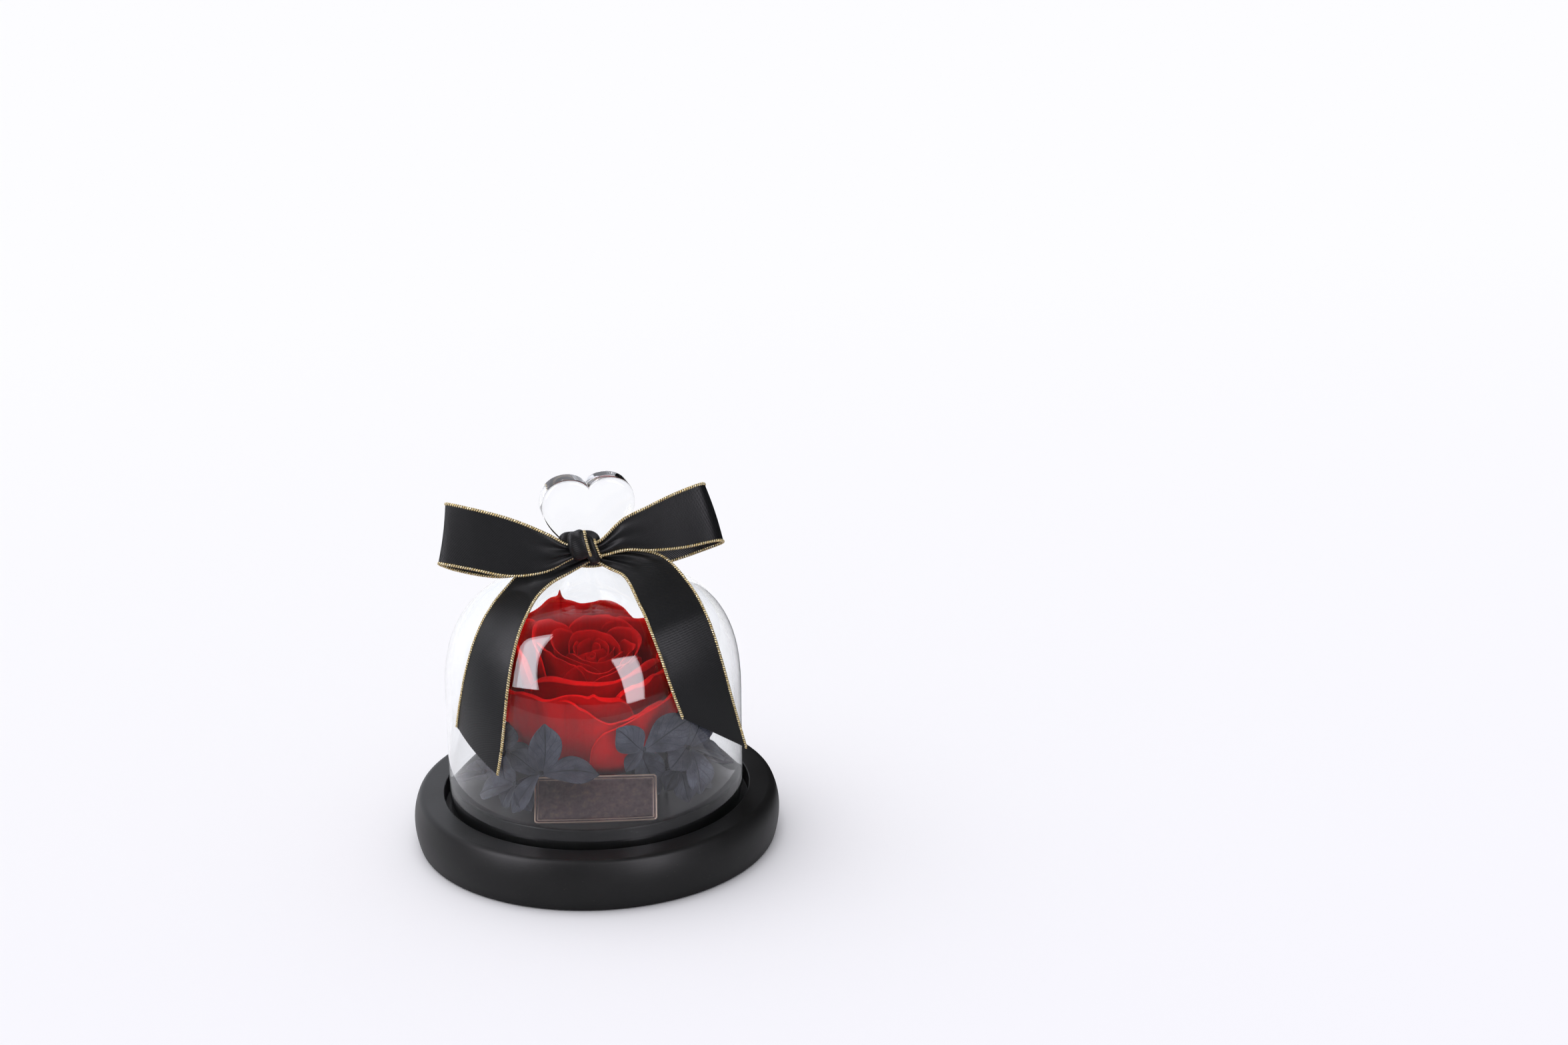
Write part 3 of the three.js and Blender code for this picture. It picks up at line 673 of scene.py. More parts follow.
rose = {
    "foot": (-1.5, 4.5, 36),
    "tilt": 11,
    "thickness": 0.42,
    "rows": 44,
    "columns": 101,
    "rimPoints": 600,
    "guards": 20,
    "lipShare": 0.06,
    # the share of its angle that a petal spans at its foot, and how far up it is all open
    "footWidth": 0.26,
    "fullAt": 0.75,
    # the cup's foot: radius and height in the heart, and how much wider it is at the guard petals;
    # how far the belly lies inside the rim, likewise
    "heartFoot": 1.8,
    "heartRise": 11,
    "footSpread": 5.5,
    "bellyInset": 0.4,
    "bellySpread": 1.6,
    # reach and spread of the bell that smooths a rim, in columns
    "smoothing": (14, 7),
    # painted shade: the share of its colour that a petal's outer face keeps below the lip, on the inner petals and on
    # the guard petals
    "paintedShadeUnderLip": 0.82,
    "paintedShadeOnGuards": 0.78,
    # waves along a rim, its sharp crests, how the lip's length swings as a share of it, and the
    # folds that run round the rose, the same for every petal, so that none cuts its neighbour
    "ripple": 0.2,
    "fineRipple": 0.12,
    "crest": 0.7,
    "lipSwing": 0.36,
    "lipFlutter": 0.22,
    "foldDepth": 0.7,
    "foldCount": 5,
    # each petal from the heart outwards: the length of its lip, how far the lip bends in degrees,
    # and its rim as (angle round the rose, radius, height)
    "rims": [
        (0.5, 40, [(45.7, 4.6, 44), (40.8, 5.8, 44.5), (48.7, 7.6, 44.5), (59, 8.9, 44.5), (70, 9, 44.5),
            (78.6, 8.4, 44)]),
        (0.6, 40, [(64.9, 12.3, 44.3), (75.2, 12.5, 44.8), (85.7, 11.3, 45.1), (98.8, 10.2, 44.8), (116.5, 8.3, 44.8),
            (134.4, 6.7, 44.3)]),
        (0.6, 50, [(16.9, 8.3, 44.6), (22.4, 6.9, 45.3), (29.5, 4.4, 45.1), (59, 1.2, 45.1), (184, 2.6, 45.1),
            (194.1, 5.1, 45.1), (195.7, 7, 44.6)]),
        (0.6, 40, [(-11.8, 6.8, 44.9), (8.7, 7.8, 45.4), (34.5, 9.3, 45.4), (53.4, 10.7, 45.4), (67.9, 11.4, 45.4),
            (80.2, 11, 44.9)]),
        (0.7, 50, [(95.3, 11.5, 45.2), (112.2, 9.7, 45.7), (134.2, 8.1, 45.7), (163.7, 6.5, 45.7), (193.7, 5.7, 45.7),
            (222, 5.5, 45.7), (244.8, 4.7, 45.2)]),
        (0.7, 50, [(271.7, 5.7, 45.5), (295.4, 6.6, 46), (319.5, 7.3, 46), (341.5, 8.2, 46), (362.3, 9.5, 46),
            (384.9, 11.1, 45.5)]),
        (1, 50, [(-22.2, 12.2, 47.3), (-4.5, 12, 47.8), (17.8, 11.1, 48.3), (48.4, 11.2, 48.3), (72.7, 12, 48.3),
            (95.5, 12.5, 48.3), (113.5, 11.6, 48.3), (134.7, 9.8, 48.3), (165.7, 8.6, 48.3), (183.3, 7.8, 47.3)]),
        (1.3, 80, [(163.3, 11.6, 47.4), (165.5, 9.8, 46.8), (175.1, 7.8, 46.6), (198, 6.8, 46.6), (227.8, 7.3, 46.6),
            (254.6, 8.9, 46.6), (275.5, 9.9, 46.6), (294.6, 10.7, 46.6), (321.6, 11, 46.6), (347.8, 12.2, 46.6),
            (369.9, 14.2, 46.1)]),
        (1.2, 70, [(-54.7, 14.3, 46.4), (-39.6, 14.5, 46.9), (-23, 15.5, 46.9), (-10.8, 17, 47.2), (0, 17.1, 47.1),
            (8.7, 15.8, 46.9), (20.6, 15, 46.9), (36, 15.5, 46.6)]),
        (1.6, 70, [(88.1, 13.6, 47.2), (101, 14.4, 48.2), (111.8, 16.5, 48.2), (120.7, 17.9, 48.2), (129.6, 17.8, 48.2),
            (140, 16.9, 47.9), (154.2, 15.3, 47.6), (176.9, 13.3, 47.4), (201, 11.4, 47.2), (224.4, 10.8, 47.2),
            (251.1, 11.7, 47.2), (271.8, 13.1, 47), (292, 14.1, 46.7)]),
        (2.2, 95, [(217.5, 20.3, 44.5), (225.2, 17.6, 46), (232.4, 15.4, 46.7), (242.8, 14.7, 48.3),
            (254.1, 15.3, 46.7), (265.2, 17.4, 46.5), (276.9, 17.7, 46.5), (293.1, 16.5, 46.5), (307.7, 16.6, 46.5),
            (323.7, 17.5, 46.5), (338.2, 18.7, 46.5), (354.6, 20.4, 46.5)]),
        (1.4, 60, [(9.8, 20.5, 48.2), (26.1, 21.8, 48.7), (40.1, 22.4, 49.2), (53.6, 22.7, 49.2), (66.9, 22.8, 49.2),
            (81.6, 21.9, 49.2), (94.6, 20.4, 49.2), (107.8, 18.6, 49.2), (118.8, 17.3, 48.2)]),
        (2, 90, [(144.4, 21.9, 48), (157.5, 20.2, 48), (170.5, 18.3, 48), (185.8, 16.2, 48), (205.6, 14.9, 48),
            (225.3, 14.8, 48), (242.5, 14.9, 47.7), (260, 15.8, 47.4)]),
        (1.7, 80, [(245.7, 19.3, 46.1), (261.4, 20.5, 46.6), (276.4, 20.4, 46.9), (294.1, 18.8, 47.1),
            (311.2, 18.4, 47.6), (328, 18.5, 48.1), (346.2, 18.9, 48.6), (366.3, 19.6, 49.1), (381.6, 19.9, 49.1),
            (392.7, 18.4, 49.1), (406.8, 16.5, 49.1), (413.3, 13.8, 49.1), (420.1, 10.9, 48.8), (430.6, 9.5, 48.1)]),
        (2, 85, [(96, 16.8, 48.8), (107.9, 18.6, 49.8), (117.1, 20.9, 49.8), (125.2, 24, 49.8), (130.8, 25.4, 49.6),
            (139.9, 24.8, 49.3), (154, 23, 49), (169.3, 21.5, 48.7), (184.4, 20.5, 48.3), (198.9, 19.9, 47.7)]),
        (4.2, 145, [(201.2, 27.4, 47.5), (204.4, 26.5, 47.5), (209.8, 25.7, 47.5), (216.7, 24.6, 47.3),
            (229, 24.3, 47.3), (241.5, 24.5, 47.3), (250.7, 24.7, 47.3), (263.4, 25, 47.3), (275.4, 25.4, 47.3),
            (287.7, 25.6, 47.3), (299, 24.3, 47.3), (312.9, 23.3, 47.3), (328.8, 24, 47.3), (340, 26.4, 47.5),
            (350.8, 28.1, 47.5)]),
        (2.6, 90, [(-24, 25.7, 47.3), (-13.2, 26.9, 48.1), (-2.3, 27.9, 48.6), (10.7, 28.6, 49.1), (22.3, 28.9, 49.3),
            (31.5, 27.6, 49.3), (39.7, 24.4, 49.3), (47.8, 23, 49.3), (60.5, 22.1, 49.3), (74.4, 22.7, 48.6)]),
        (3.6, 130, [(118.7, 25.6, 48.7), (125.6, 27.7, 49.1), (131.4, 30.3, 49.1), (136.9, 30.9, 49.1),
            (144.6, 30.5, 48.9), (151.9, 30.6, 48.6), (158.6, 30.1, 48.3), (166.9, 28.5, 47.9), (176.8, 27, 47.4),
            (187.4, 25.8, 46.8), (197.5, 25, 46.1)]),
        (4.2, 135, [(270.5, 28.2, 43.8), (278.5, 29.4, 44.8), (288.3, 29.7, 45.5), (297.2, 29.9, 45.8),
            (303.6, 30.5, 46.2), (308.8, 30.8, 47.4), (316.3, 30.5, 46), (325.4, 31.9, 45.8), (337, 32.9, 45.8),
            (348.7, 33.7, 46.3), (360.6, 34.3, 46.3)]),
        (1.4, 60, [(35.9, 31.5, 47.8), (44.7, 31.9, 48.3), (49.8, 31.8, 48.6), (56.5, 33.4, 48.8), (63.8, 33.6, 48.8),
            (70.5, 32, 48.8), (78.5, 30.3, 48.8), (87.1, 30.2, 48.8), (95.4, 32.7, 49), (97.8, 33.8, 49.4),
            (99.7, 34.6, 51.3), (101.2, 34.3, 53.9), (101.9, 35, 51.5), (103.5, 36.2, 49.8), (108, 36.5, 49.1),
            (116.6, 35.4, 48.8), (125.8, 36.2, 48.8), (133.1, 36, 48.8), (141.2, 35.9, 48.3)]),
        (3.2, 130, [(175.4, 39.7, 46), (190.6, 40, 46), (205.1, 41.3, 46), (214.8, 41.3, 46), (220.6, 39.5, 46),
            (225.8, 38.2, 46), (232.3, 38.9, 46), (238.4, 36.5, 46), (244.9, 33.5, 46.2), (252.9, 32.7, 46.2),
            (258, 33.2, 46.1), (261.5, 33.5, 47.3), (265.1, 33.7, 46), (271.2, 34.1, 46), (279.3, 32.8, 46.2),
            (285, 33.2, 46.2), (289.4, 36.4, 46)]),
        (2.4, 110, [(-101.1, 31.5, 11.4), (-100.2, 36.3, 21.8), (-97.2, 38.8, 29.5), (-93, 40.9, 34.5),
            (-86.4, 42.3, 37.3), (-79.2, 42.7, 39), (-70.9, 42, 40.5), (-61.9, 41.7, 41.6), (-55.1, 41.8, 42.9),
            (-46.3, 41.1, 43.8), (-33.9, 40, 44.8), (-19.3, 39.4, 45.4), (-4, 39.8, 45.7), (9.1, 40.2, 45.8),
            (19.4, 39.9, 45.7), (27.9, 38.6, 45.4), (35.6, 36.6, 44.9)]),
        (3.6, 120, [(107.9, 40.9, 43.9), (114.8, 42.2, 44.2), (123.2, 42.7, 44.5), (132.6, 42.2, 44.7),
            (143.3, 41, 44.7), (155.2, 39.4, 44.5), (167.7, 38.1, 44.2), (181.8, 37.4, 43.7), (194.8, 37.5, 42.9),
            (205.1, 37.3, 41.9)]),
        (2.8, 120, [(221.1, 36, 40.5), (230.7, 35.5, 42.4), (238.4, 34.3, 44.2), (243.9, 34.2, 44.7),
            (247.6, 34.6, 44.2), (251.4, 35.9, 43.3), (256.1, 36.5, 42), (260.5, 37.9, 40.6), (265.3, 39.8, 39.2),
            (270.2, 41.3, 38.6), (275.8, 41.3, 38.6), (283, 40.9, 39.6), (290.7, 39.6, 40.6), (298.8, 39.1, 41.3),
            (306.8, 38.5, 42), (315.9, 37.9, 42.4)]),
    ],
}


def preservedPetal():
    # a real petal with its sap replaced by dyed glycerine: saturated matte red, with painted shade
    # that darkens it from its thin rim down into the cup, a velvety bloom and fine veins along it; it is
    # thin enough to glow red where light comes through
    material, tree = newMaterial(
        "preservedRedPetal", Roughness=0.6, Specular_IOR_Level=0.06, Sheen_Weight=0.06, Sheen_Roughness=0.4,
        Sheen_Tint="#ff2018", Subsurface_Weight=0.2, Subsurface_Radius=(1.0, 0.12, 0.1), Subsurface_Scale=0.8 * mm)
    place = addNode(tree, "TexCoord", output="Object")
    flat = place.node.outputs["UV"]
    along = addNode(tree, "SeparateXYZ", [flat], output="Y")
    tone = addNode(tree, "Attribute", attribute_name="tone", output="Fac")
    # veins are about 0.9 mm apart, so some 45 cross the widest petal
    spread = addNode(tree, "Mapping", {"Vector": flat, "Scale": (46, 2.2, 1)})
    veins = addNode(tree, "TexNoise", {"Vector": spread, "Scale": 1, "Detail": 3, "Roughness": 0.6})
    # the dye is uneven over some 8 mm
    blotch = addNode(tree, "TexNoise", {"Vector": place, "Scale": 130, "Detail": 4})
    # painted shade: the red darkens from the rim down to near black at the foot of the cup
    depth = addNode(tree, "ValToRGB", [along], stops=[
        (0.0, "#3c0004"), (1.0, "#e2120f"), (0.5, "#b0050a"), (0.78, "#dc070c"), (0.93, "#e6080c"), (0.985, "#e6090c")])
    shade = addNode(tree, "MapRange", [blotch, 0.3, 0.7, 0.88, 1.1])
    streak = addNode(tree, "MapRange", [veins, 0.3, 0.7, 0.9, 1.06])
    amount = addNode(tree, "Math", [shade, streak], operation="MULTIPLY")
    # the tone attribute brings each petal's own tone and the painted shade on its outer face below the lip
    amount = addNode(tree, "Math", [amount, tone], operation="MULTIPLY")
    dyed = addNode(tree, "VectorMath", {0: depth, "Scale": amount}, operation="SCALE")
    # and the skin crinkles every 2.4 mm or so
    crinkle = addNode(tree, "TexNoise", {"Vector": place, "Scale": 420, "Detail": 3})
    height = addNode(tree, "Math", [veins, 0.6, crinkle], operation="MULTIPLY_ADD")
    relief = addNode(tree, "Bump", {"Height": height, "Strength": 0.35, "Distance": 0.3 * mm})
    return joinSurface(material, Base_Color=dyed, Normal=relief)


def roseCup(s, t, radius, height):
    # the cup that a petal of layer s lies on (0 the heart, 1 the guard petals), at t from foot to
    # rim: a cubic curve of radius and height, foot, low belly, belly and rim
    foot, low = rose["heartFoot"] + rose["footSpread"] * s, rose["heartRise"] * (1 - s)
    belly = radius - rose["bellyInset"] - rose["bellySpread"] * s
    curve = [(foot, low), (foot + 0.85 * (belly - foot), low + 3 - 2 * s), (belly, low + 0.35 * (height - low)),
             (radius, height)]
    weights = [(1 - t) ** 3, 3 * t * (1 - t) ** 2, 3 * t ** 2 * (1 - t), t ** 3]
    return [sum(w * point[axis] for w, point in zip(weights, curve)) for axis in (0, 1)]


def placeRose(points):
    # from the rose's own frame, upright on its foot, to its tilted place on the stem
    return turnedPoints(points, rose["tilt"], "X") + rose["foot"]


def petalParts(index):
    # a petal: its rim curve is read at even steps of its length and smoothed; the cup runs from the
    # foot to it, narrow at the foot, and what the smoothing took is added back near the rim only.
    # Beyond the cup the lip leaves along an arc: (lip / bend) x (sin bend, 1 - cos bend) along and out
    lip, bend, rim = rose["rims"][index]
    s = index / (len(rose["rims"]) - 1)
    phase = 2.4 * index
    line = np.linspace(-1, 1, rose["columns"])
    dense = catmullRom(rim, np.linspace(0, 1, rose["rimPoints"]))
    length = travelled(ringOf(dense[:, 1], np.radians(dense[:, 0]), dense[:, 2]))
    angle, radius, height = (np.interp((line + 1) / 2, length / length[-1], column) for column in dense.T)
    smoothRadius, smoothHeight = bellSmooth((radius, height), *rose["smoothing"], mode="edge")
    ripple = rose["ripple"] * (0.4 + s) * np.sin(15 * line + phase)
    ripple += rose["fineRipple"] * s * np.sin(31 * line + 2 * phase)
    ripple += rose["crest"] * s * (1 - np.abs(np.sin(4.3 * line + phase))) ** 4
    side, v = np.meshgrid(line, 1 - (1 - np.linspace(0, 1, rose["rows"])) ** 1.7)
    fall = 1 - 0.16 * side ** 8
    middle = (angle[0] + angle[-1]) / 2
    opened = 1 - rose["footWidth"]
    narrow = rose["footWidth"] + opened * np.sin(np.minimum(v / rose["fullAt"], 1) * np.pi / 2)
    turn = np.radians(middle + (angle - middle) * narrow)
    share = rose["lipShare"]
    cupRadius, cupHeight = roseCup(s, np.minimum(v / (1 - share), 1) * fall, smoothRadius, smoothHeight)
    ahead = np.subtract(*(roseCup(s, fall - back, smoothRadius, smoothHeight) for back in (0, 0.01)))
    outward, upward = ahead / np.linalg.norm(ahead, axis=0)
    swing = rose["lipSwing"] * np.sin(3.3 * side + phase) + rose["lipFlutter"] * np.sin(9 * side + 2 * phase)
    lip = lip * (1 - 0.7 * side ** 8) * (1 + swing)
    bend = np.radians(bend) * (1 + 0.12 * np.sin(6 * side + phase))
    part = np.clip((v - 1 + share) / share, 0, 1) * bend
    along, out = lip / bend * np.sin(part), lip / bend * (1 - np.cos(part))
    top = 0.8 * lip / bend * np.sin(np.minimum(bend, np.pi / 2))
    fold = rose["foldDepth"] * s ** 2 * np.sin(rose["foldCount"] * turn + 1) * np.sin(np.pi * v) ** 2
    cupRadius = cupRadius + along * outward + out * upward + (radius - smoothRadius) * v ** 6 + fold
    cupHeight = cupHeight + along * upward - out * outward - top * v ** 6 + (height - smoothHeight + ripple) * v ** 7
    edge = np.maximum(np.abs(side) ** 6, v ** 12)
    # painted shade: below the lip the outer face is painted darker, in place of the shade that the lip and the petals
    # round it cast there
    inside = np.full_like(v, 1.04 + 0.07 * np.sin(1.9 * index))
    shade = rose["paintedShadeUnderLip"] if index < rose["guards"] else rose["paintedShadeOnGuards"]
    outside = inside * (shade + (1 - shade) * np.clip((v - 0.93) / 0.03, 0, 1))
    points = placeRose(ringOf(cupRadius, turn, cupHeight))
    uv = np.stack([(side + 1) / 2, v], -1)
    return thickSheet(points, rose["thickness"] * (1 - 0.6 * edge), uv, np.stack([outside, inside]))


bud = {
    "from": -60,
    "turned": 900,
    "core": 0.5,
    "growth": 2.7,
    "foot": 11.8,
    "top": 43.2,
    "thickness": 0.34,
    "columns": 110,
    "rows": 30,
    "tone": 0.95,
}
stem = {
    # the stem's and the tilted seat's (radius, height), the seat's from the rose's foot
    "profile": [(0, 27.3), (4.1, 27.3), (4.4, 27.8), (4.0, 29), (3.7, 32), (3.9, 35), (4.2, 37.5), (0, 37.5)],
    "seat": [(0, -3), (4.2, -2.4), (5.6, 0), (4.4, 4), (2.4, 8), (0.9, 11), (0, 11.2)],
    "ribs": 7,
    "ribDepth": 0.05,
    "segments": 48,
    "seatRows": 30,
}


def budParts():
    # the furled heart: a sheet rolled two and a half turns, its radius growing with the turn and
    # swelling by sin(pi v^0.8) up its height v
    turn, v = np.meshgrid(np.linspace(0, 1, bud["columns"]), np.linspace(0, 1, bud["rows"]))
    radius = (bud["core"] + bud["growth"] * turn) * (0.62 + 0.38 * np.sin(np.pi * v ** 0.8) + 0.1 * v)
    top = bud["top"] + turn + 0.5 * np.sin(7.5 * turn * np.pi)
    points = ringOf(radius, np.radians(bud["from"] + bud["turned"] * turn), bud["foot"] + (top - bud["foot"]) * v)
    return thickSheet(placeRose(points), bud["thickness"], np.stack([turn * 2, v], -1), bud["tone"])


def driedStem():
    # a cut rose stem, dried: olive brown, matte, ridged along its length
    material, tree = newMaterial("driedRoseStem", Roughness=0.78)
    place = addNode(tree, "TexCoord", output="Object")
    # ridges are 0.7 mm apart and some 6 mm long
    along = addNode(tree, "Mapping", {"Vector": place, "Scale": (1400, 1400, 160)})
    ridges = addNode(tree, "TexNoise", {"Vector": along, "Scale": 1, "Detail": 4})
    colour = addNode(tree, "ValToRGB", [ridges], stops=[(0.3, "#2b2a17"), (0.7, "#4a4829")])
    relief = addNode(tree, "Bump", {"Height": ridges, "Strength": 0.5, "Distance": 0.4 * mm})
    return joinSurface(material, Base_Color=colour, Normal=relief)


def makeStem():
    # a short stem, wider at its cut foot, its radius times 1 + ribDepth cos(ribs x angle), and the
    # tilted seat that holds the petals
    angle = fullTurn(stem["segments"])
    radius, height = np.array(stem["profile"], float).T[..., None]
    ribbed = ringOf(radius * (1 + stem["ribDepth"] * np.cos(stem["ribs"] * angle)), angle, height)
    profile = catmullRom(stem["seat"], np.linspace(0, 1, stem["seatRows"]))
    profile[[0, -1], 0] = 0
    seat = lathe(profile, stem["segments"])
    seat["points"] = placeRose(seat["points"])
    parts = [closedGrid(ribbed + [*rose["foot"][:2], 0]), seat]
    makePiece("roseStem", parts, driedStem(), ["rose_stem"], weld=True)


def makeRose():
    petal = preservedPetal()
    for index in range(len(rose["rims"])):
        number = f"{index + 1:02d}"
        makePiece(f"rosePetal{number}", [petalParts(index)], petal, [f"rose_petal_{number}"])
    makePiece("roseBud", [budParts()], petal, ["rose_bud"])
    makeStem()


makeRose()
print("rose is set with", len(rose["rims"]), "petals")


# a floret that the photo shows gives its centre and, for each sepal, its tip, the way it faces, its
# width, how much its middle bows and its tone. Any other stands "around" the axis at a distance and
# a height, faces out and up by its lean, and is spun in its own plane; size is a sepal's length
florets = [
    {"centre": (-28.7, -42, 47.7), "sepals": [
        ((-26.2, -43, 68.4), (0.1, -1, -0.15), 13.2, 0.05, 1.0),
        ((-6.4, -43.6, 44.8), (0.05, -0.75, 0.9), 11.5, 0.1, 0.92),
        ((-39.8, -36.5, 30.2), (-0.75, -0.55, 0.1), 8.5, 0.06, 1.15),
        ((-39.4, -33, 53.6), (-0.5, -0.6, 0.75), 9.5, 0.08, 0.85)]},
    {"centre": (11.4, -42.4, 53.2), "sepals": [
        ((0.3, -46, 64), (-0.1, -1, 0.1), 12.5, 0.06, 1.0), ((31.2, -40.5, 62.8), (0.2, -1, 0.35), 14.5, 0.08, 1.08),
        ((3.7, -46, 46), (-0.8, -0.6, 0.1), 6.5, 0.1, 0.95), ((18.5, -34, 30), (0.25, -1, 0.3), 14, -0.1, 1.0)]},
    {"centre": (31.6, -31, 46.6), "sepals": [
        ((22.3, -37.5, 42.1), (-0.2, -0.9, 0.3), 10.5, 0.1, 0.9), ((38.2, -27, 63), (0.3, -0.8, 0.1), 13, 0.12, 1.2),
        ((48.2, -20, 36.7), (0.5, -0.5, 0.7), 9, 0.1, 0.85),
        ((35.2, -36.5, 29.2), (0.35, -0.9, 0.3), 12.5, 0.14, 1.35)]},
    {"around": 107, "distance": 44.5, "height": 44, "lean": 12, "spin": 60, "size": 15},
    {"around": 152, "distance": 44, "height": 44, "lean": 8, "spin": 10, "size": 15},
    {"around": 197, "distance": 44.5, "height": 43.5, "lean": 14, "spin": 40, "size": 14.5},
    {"around": 242, "distance": 44, "height": 44, "lean": 8, "spin": 70, "size": 15},
    {"centre": (-39.8, -20, 48.1), "sepals": [
        ((-37.8, -19, 60.6), (-0.4, -0.9, 0.2), 11.5, 0.1, 1.0), ((-29.4, -29, 48.9), (-0.2, -0.9, 0.6), 9, 0.1, 0.85),
        ((-39.5, -32, 35.6), (-0.55, -0.8, 0.25), 11, 0.1, 1.1),
        ((-47.3, -14, 47.3), (-0.6, -0.5, 0.7), 9, 0.1, 0.95)]},
    {"centre": (27, -35, 40.1), "sepals": [
        ((29.3, -41, 28.3), (-0.15, -0.95, 0.25), 8.6, -0.12, 1.15), ((40.8, -30, 28.6), (0.4, -0.6, 0.8), 9, 0.1, 0.9),
        ((20.5, -38, 33), (-0.3, -0.6, 0.8), 8, 0.08, 0.8)]},
    {"around": 85, "distance": 45, "height": 31, "lean": 80, "spin": 55, "size": 11},
    {"around": 130, "distance": 45, "height": 31.2, "lean": 78, "spin": 15, "size": 11},
    {"around": 175, "distance": 45, "height": 31, "lean": 80, "spin": 70, "size": 11},
    {"around": 220, "distance": 45, "height": 31.2, "lean": 78, "spin": 35, "size": 11},
    {"around": 265, "distance": 45, "height": 31, "lean": 80, "spin": 10, "size": 11},
    {"centre": (-37.1, -34, 41), "sepals": [
        ((-49.4, -18, 30.8), (-0.5, -0.6, 0.8), 9.5, 0.1, 1.1), ((-42.3, -28, 29.6), (-0.7, -0.7, 0.4), 8.5, 0.1, 0.95),
        ((-33, -40.5, 31.5), (-0.2, -0.8, 0.6), 7.5, 0.1, 0.8)]},
]
sepal = {
    "thickness": 0.32,
    "rows": 30,
    "columns": 25,
    "width": 0.8,
    # how far a sepal cups, sways to the side, sinks along its midrib, waves and ripples
    "cup": 0.09,
    "sway": 0.05,
    "groove": 0.25,
    "wave": 0.3,
    "ripple": 0.14,
    "beadRadius": 1.1,
    "beadLobes": 0.16,
    "beadOut": 0.7,
    "beadTone": 0.7,
    "beadColumns": 20,
    "beadRows": 11,
    "stalkRadius": 0.75,
    "stalkFoot": 27.6,
    "stalkAt": 33,
    "stalkTone": 0.75,
    "stalkSegments": 9,
    "stalkPoints": 14,
}


def preservedSepal():
    # a hydrangea sepal dyed black: blue-grey charcoal, matte like paper, with a darker midrib and
    # a fine network of side veins
    material, tree = newMaterial("preservedBlackSepal", Roughness=0.5, Specular_IOR_Level=0.2, Sheen_Weight=0.1)
    place = addNode(tree, "TexCoord", output="Object")
    flat = place.node.outputs["UV"]
    side = addNode(tree, "SeparateXYZ", [flat])
    tone = addNode(tree, "Attribute", attribute_name="tone", output="Fac")
    off = addNode(tree, "Math", [side, -0.5], operation="ADD")
    off = addNode(tree, "Math", [off], operation="ABSOLUTE")
    midrib = addNode(tree, "MapRange", [off, 0.0, 0.035, 1, 0])
    # side veins leave the midrib every 1.7 mm and run forward
    lean = addNode(tree, "Math", [off, -9.0], operation="MULTIPLY")
    step = addNode(tree, "Math", [side.node.outputs["Y"], 9.0, lean], operation="MULTIPLY_ADD")
    jitter = addNode(tree, "TexNoise", {"Vector": place, "Scale": 260, "Detail": 2})
    step = addNode(tree, "Math", [jitter, 1.1, step], operation="MULTIPLY_ADD")
    beat = addNode(tree, "Math", [step, 1.0], operation="PINGPONG")
    sideVein = addNode(tree, "MapRange", [beat, 0.0, 0.13, 0.8, 0])
    # and the finest veins are a mesh of about 1 mm
    net = addNode(tree, "TexVoronoi", {"Vector": flat, "Scale": 15}, feature="DISTANCE_TO_EDGE")
    fine = addNode(tree, "MapRange", [net, 0.0, 0.09, 0.45, 0])
    veins = addNode(tree, "Math", [midrib, sideVein], operation="MAXIMUM")
    veins = addNode(tree, "Math", [veins, fine], operation="MAXIMUM", use_clamp=True)
    # the blade is paler and darker over some 6 mm
    cloud = addNode(tree, "TexNoise", {"Vector": place, "Scale": 170, "Detail": 4})
    blade = addNode(tree, "ValToRGB", [cloud], stops=[(0.3, "#30323c"), (0.7, "#595c6a")])
    drawn = addNode(tree, "Mix", {0: veins, 6: blade, 7: "#131418"}, data_type="RGBA", output=2)
    dyed = addNode(tree, "VectorMath", {0: drawn, "Scale": tone}, operation="SCALE")
    relief = addNode(tree, "Bump", {"Height": veins, "Strength": 0.5, "Distance": 0.25 * mm}, invert=True)
    return joinSurface(material, Base_Color=dyed, Normal=relief)


def sepalParts(root, tip, facing, width, bow, phase, tone):
    # a sepal from root to tip: half width = width / 2 x sin(pi v^1.35)^0.65, narrow at its foot and
    # round at its tip. It bows by 4 v (1 - v), cups up at its edges and waves at its rim
    side, v = np.meshgrid(np.linspace(-1, 1, sepal["columns"]), np.linspace(0, 1, sepal["rows"]))
    run = np.subtract(tip, root)
    length = np.linalg.norm(run)
    ahead = run / length
    normal = unit(facing - np.dot(facing, ahead) * ahead)
    half = width / 2 * (np.sin(np.pi * np.clip(v, 0.02, 0.985) ** 1.35) ** 0.65 + 0.04 * (1 - v))
    half = half * (1 + 0.05 * np.sin(8 * v + phase) * np.sign(side))
    x = length * v * (1 - 0.04 * side ** 2)
    y = half * side + sepal["sway"] * width * np.sin(3.5 * v + phase)
    rise = bow * length * 4 * v * (1 - v) + sepal["cup"] * width * side ** 2 * np.sin(np.pi * v)
    rise = rise - sepal["groove"] * np.exp(-(side / 0.12) ** 2) * v
    rise = rise + sepal["wave"] * np.sin(4.6 * v + 2 * side + phase) * side ** 2
    rise = rise + sepal["ripple"] * np.sin(9 * side + 3 * v + phase) * v
    points = root + x[..., None] * ahead + y[..., None] * np.cross(normal, ahead) + rise[..., None] * normal
    thickness = sepal["thickness"] * (1 - 0.55 * np.maximum(np.abs(side), v) ** 6)
    return thickSheet(points, thickness, np.stack([(side + 1) / 2, v], -1), tone)


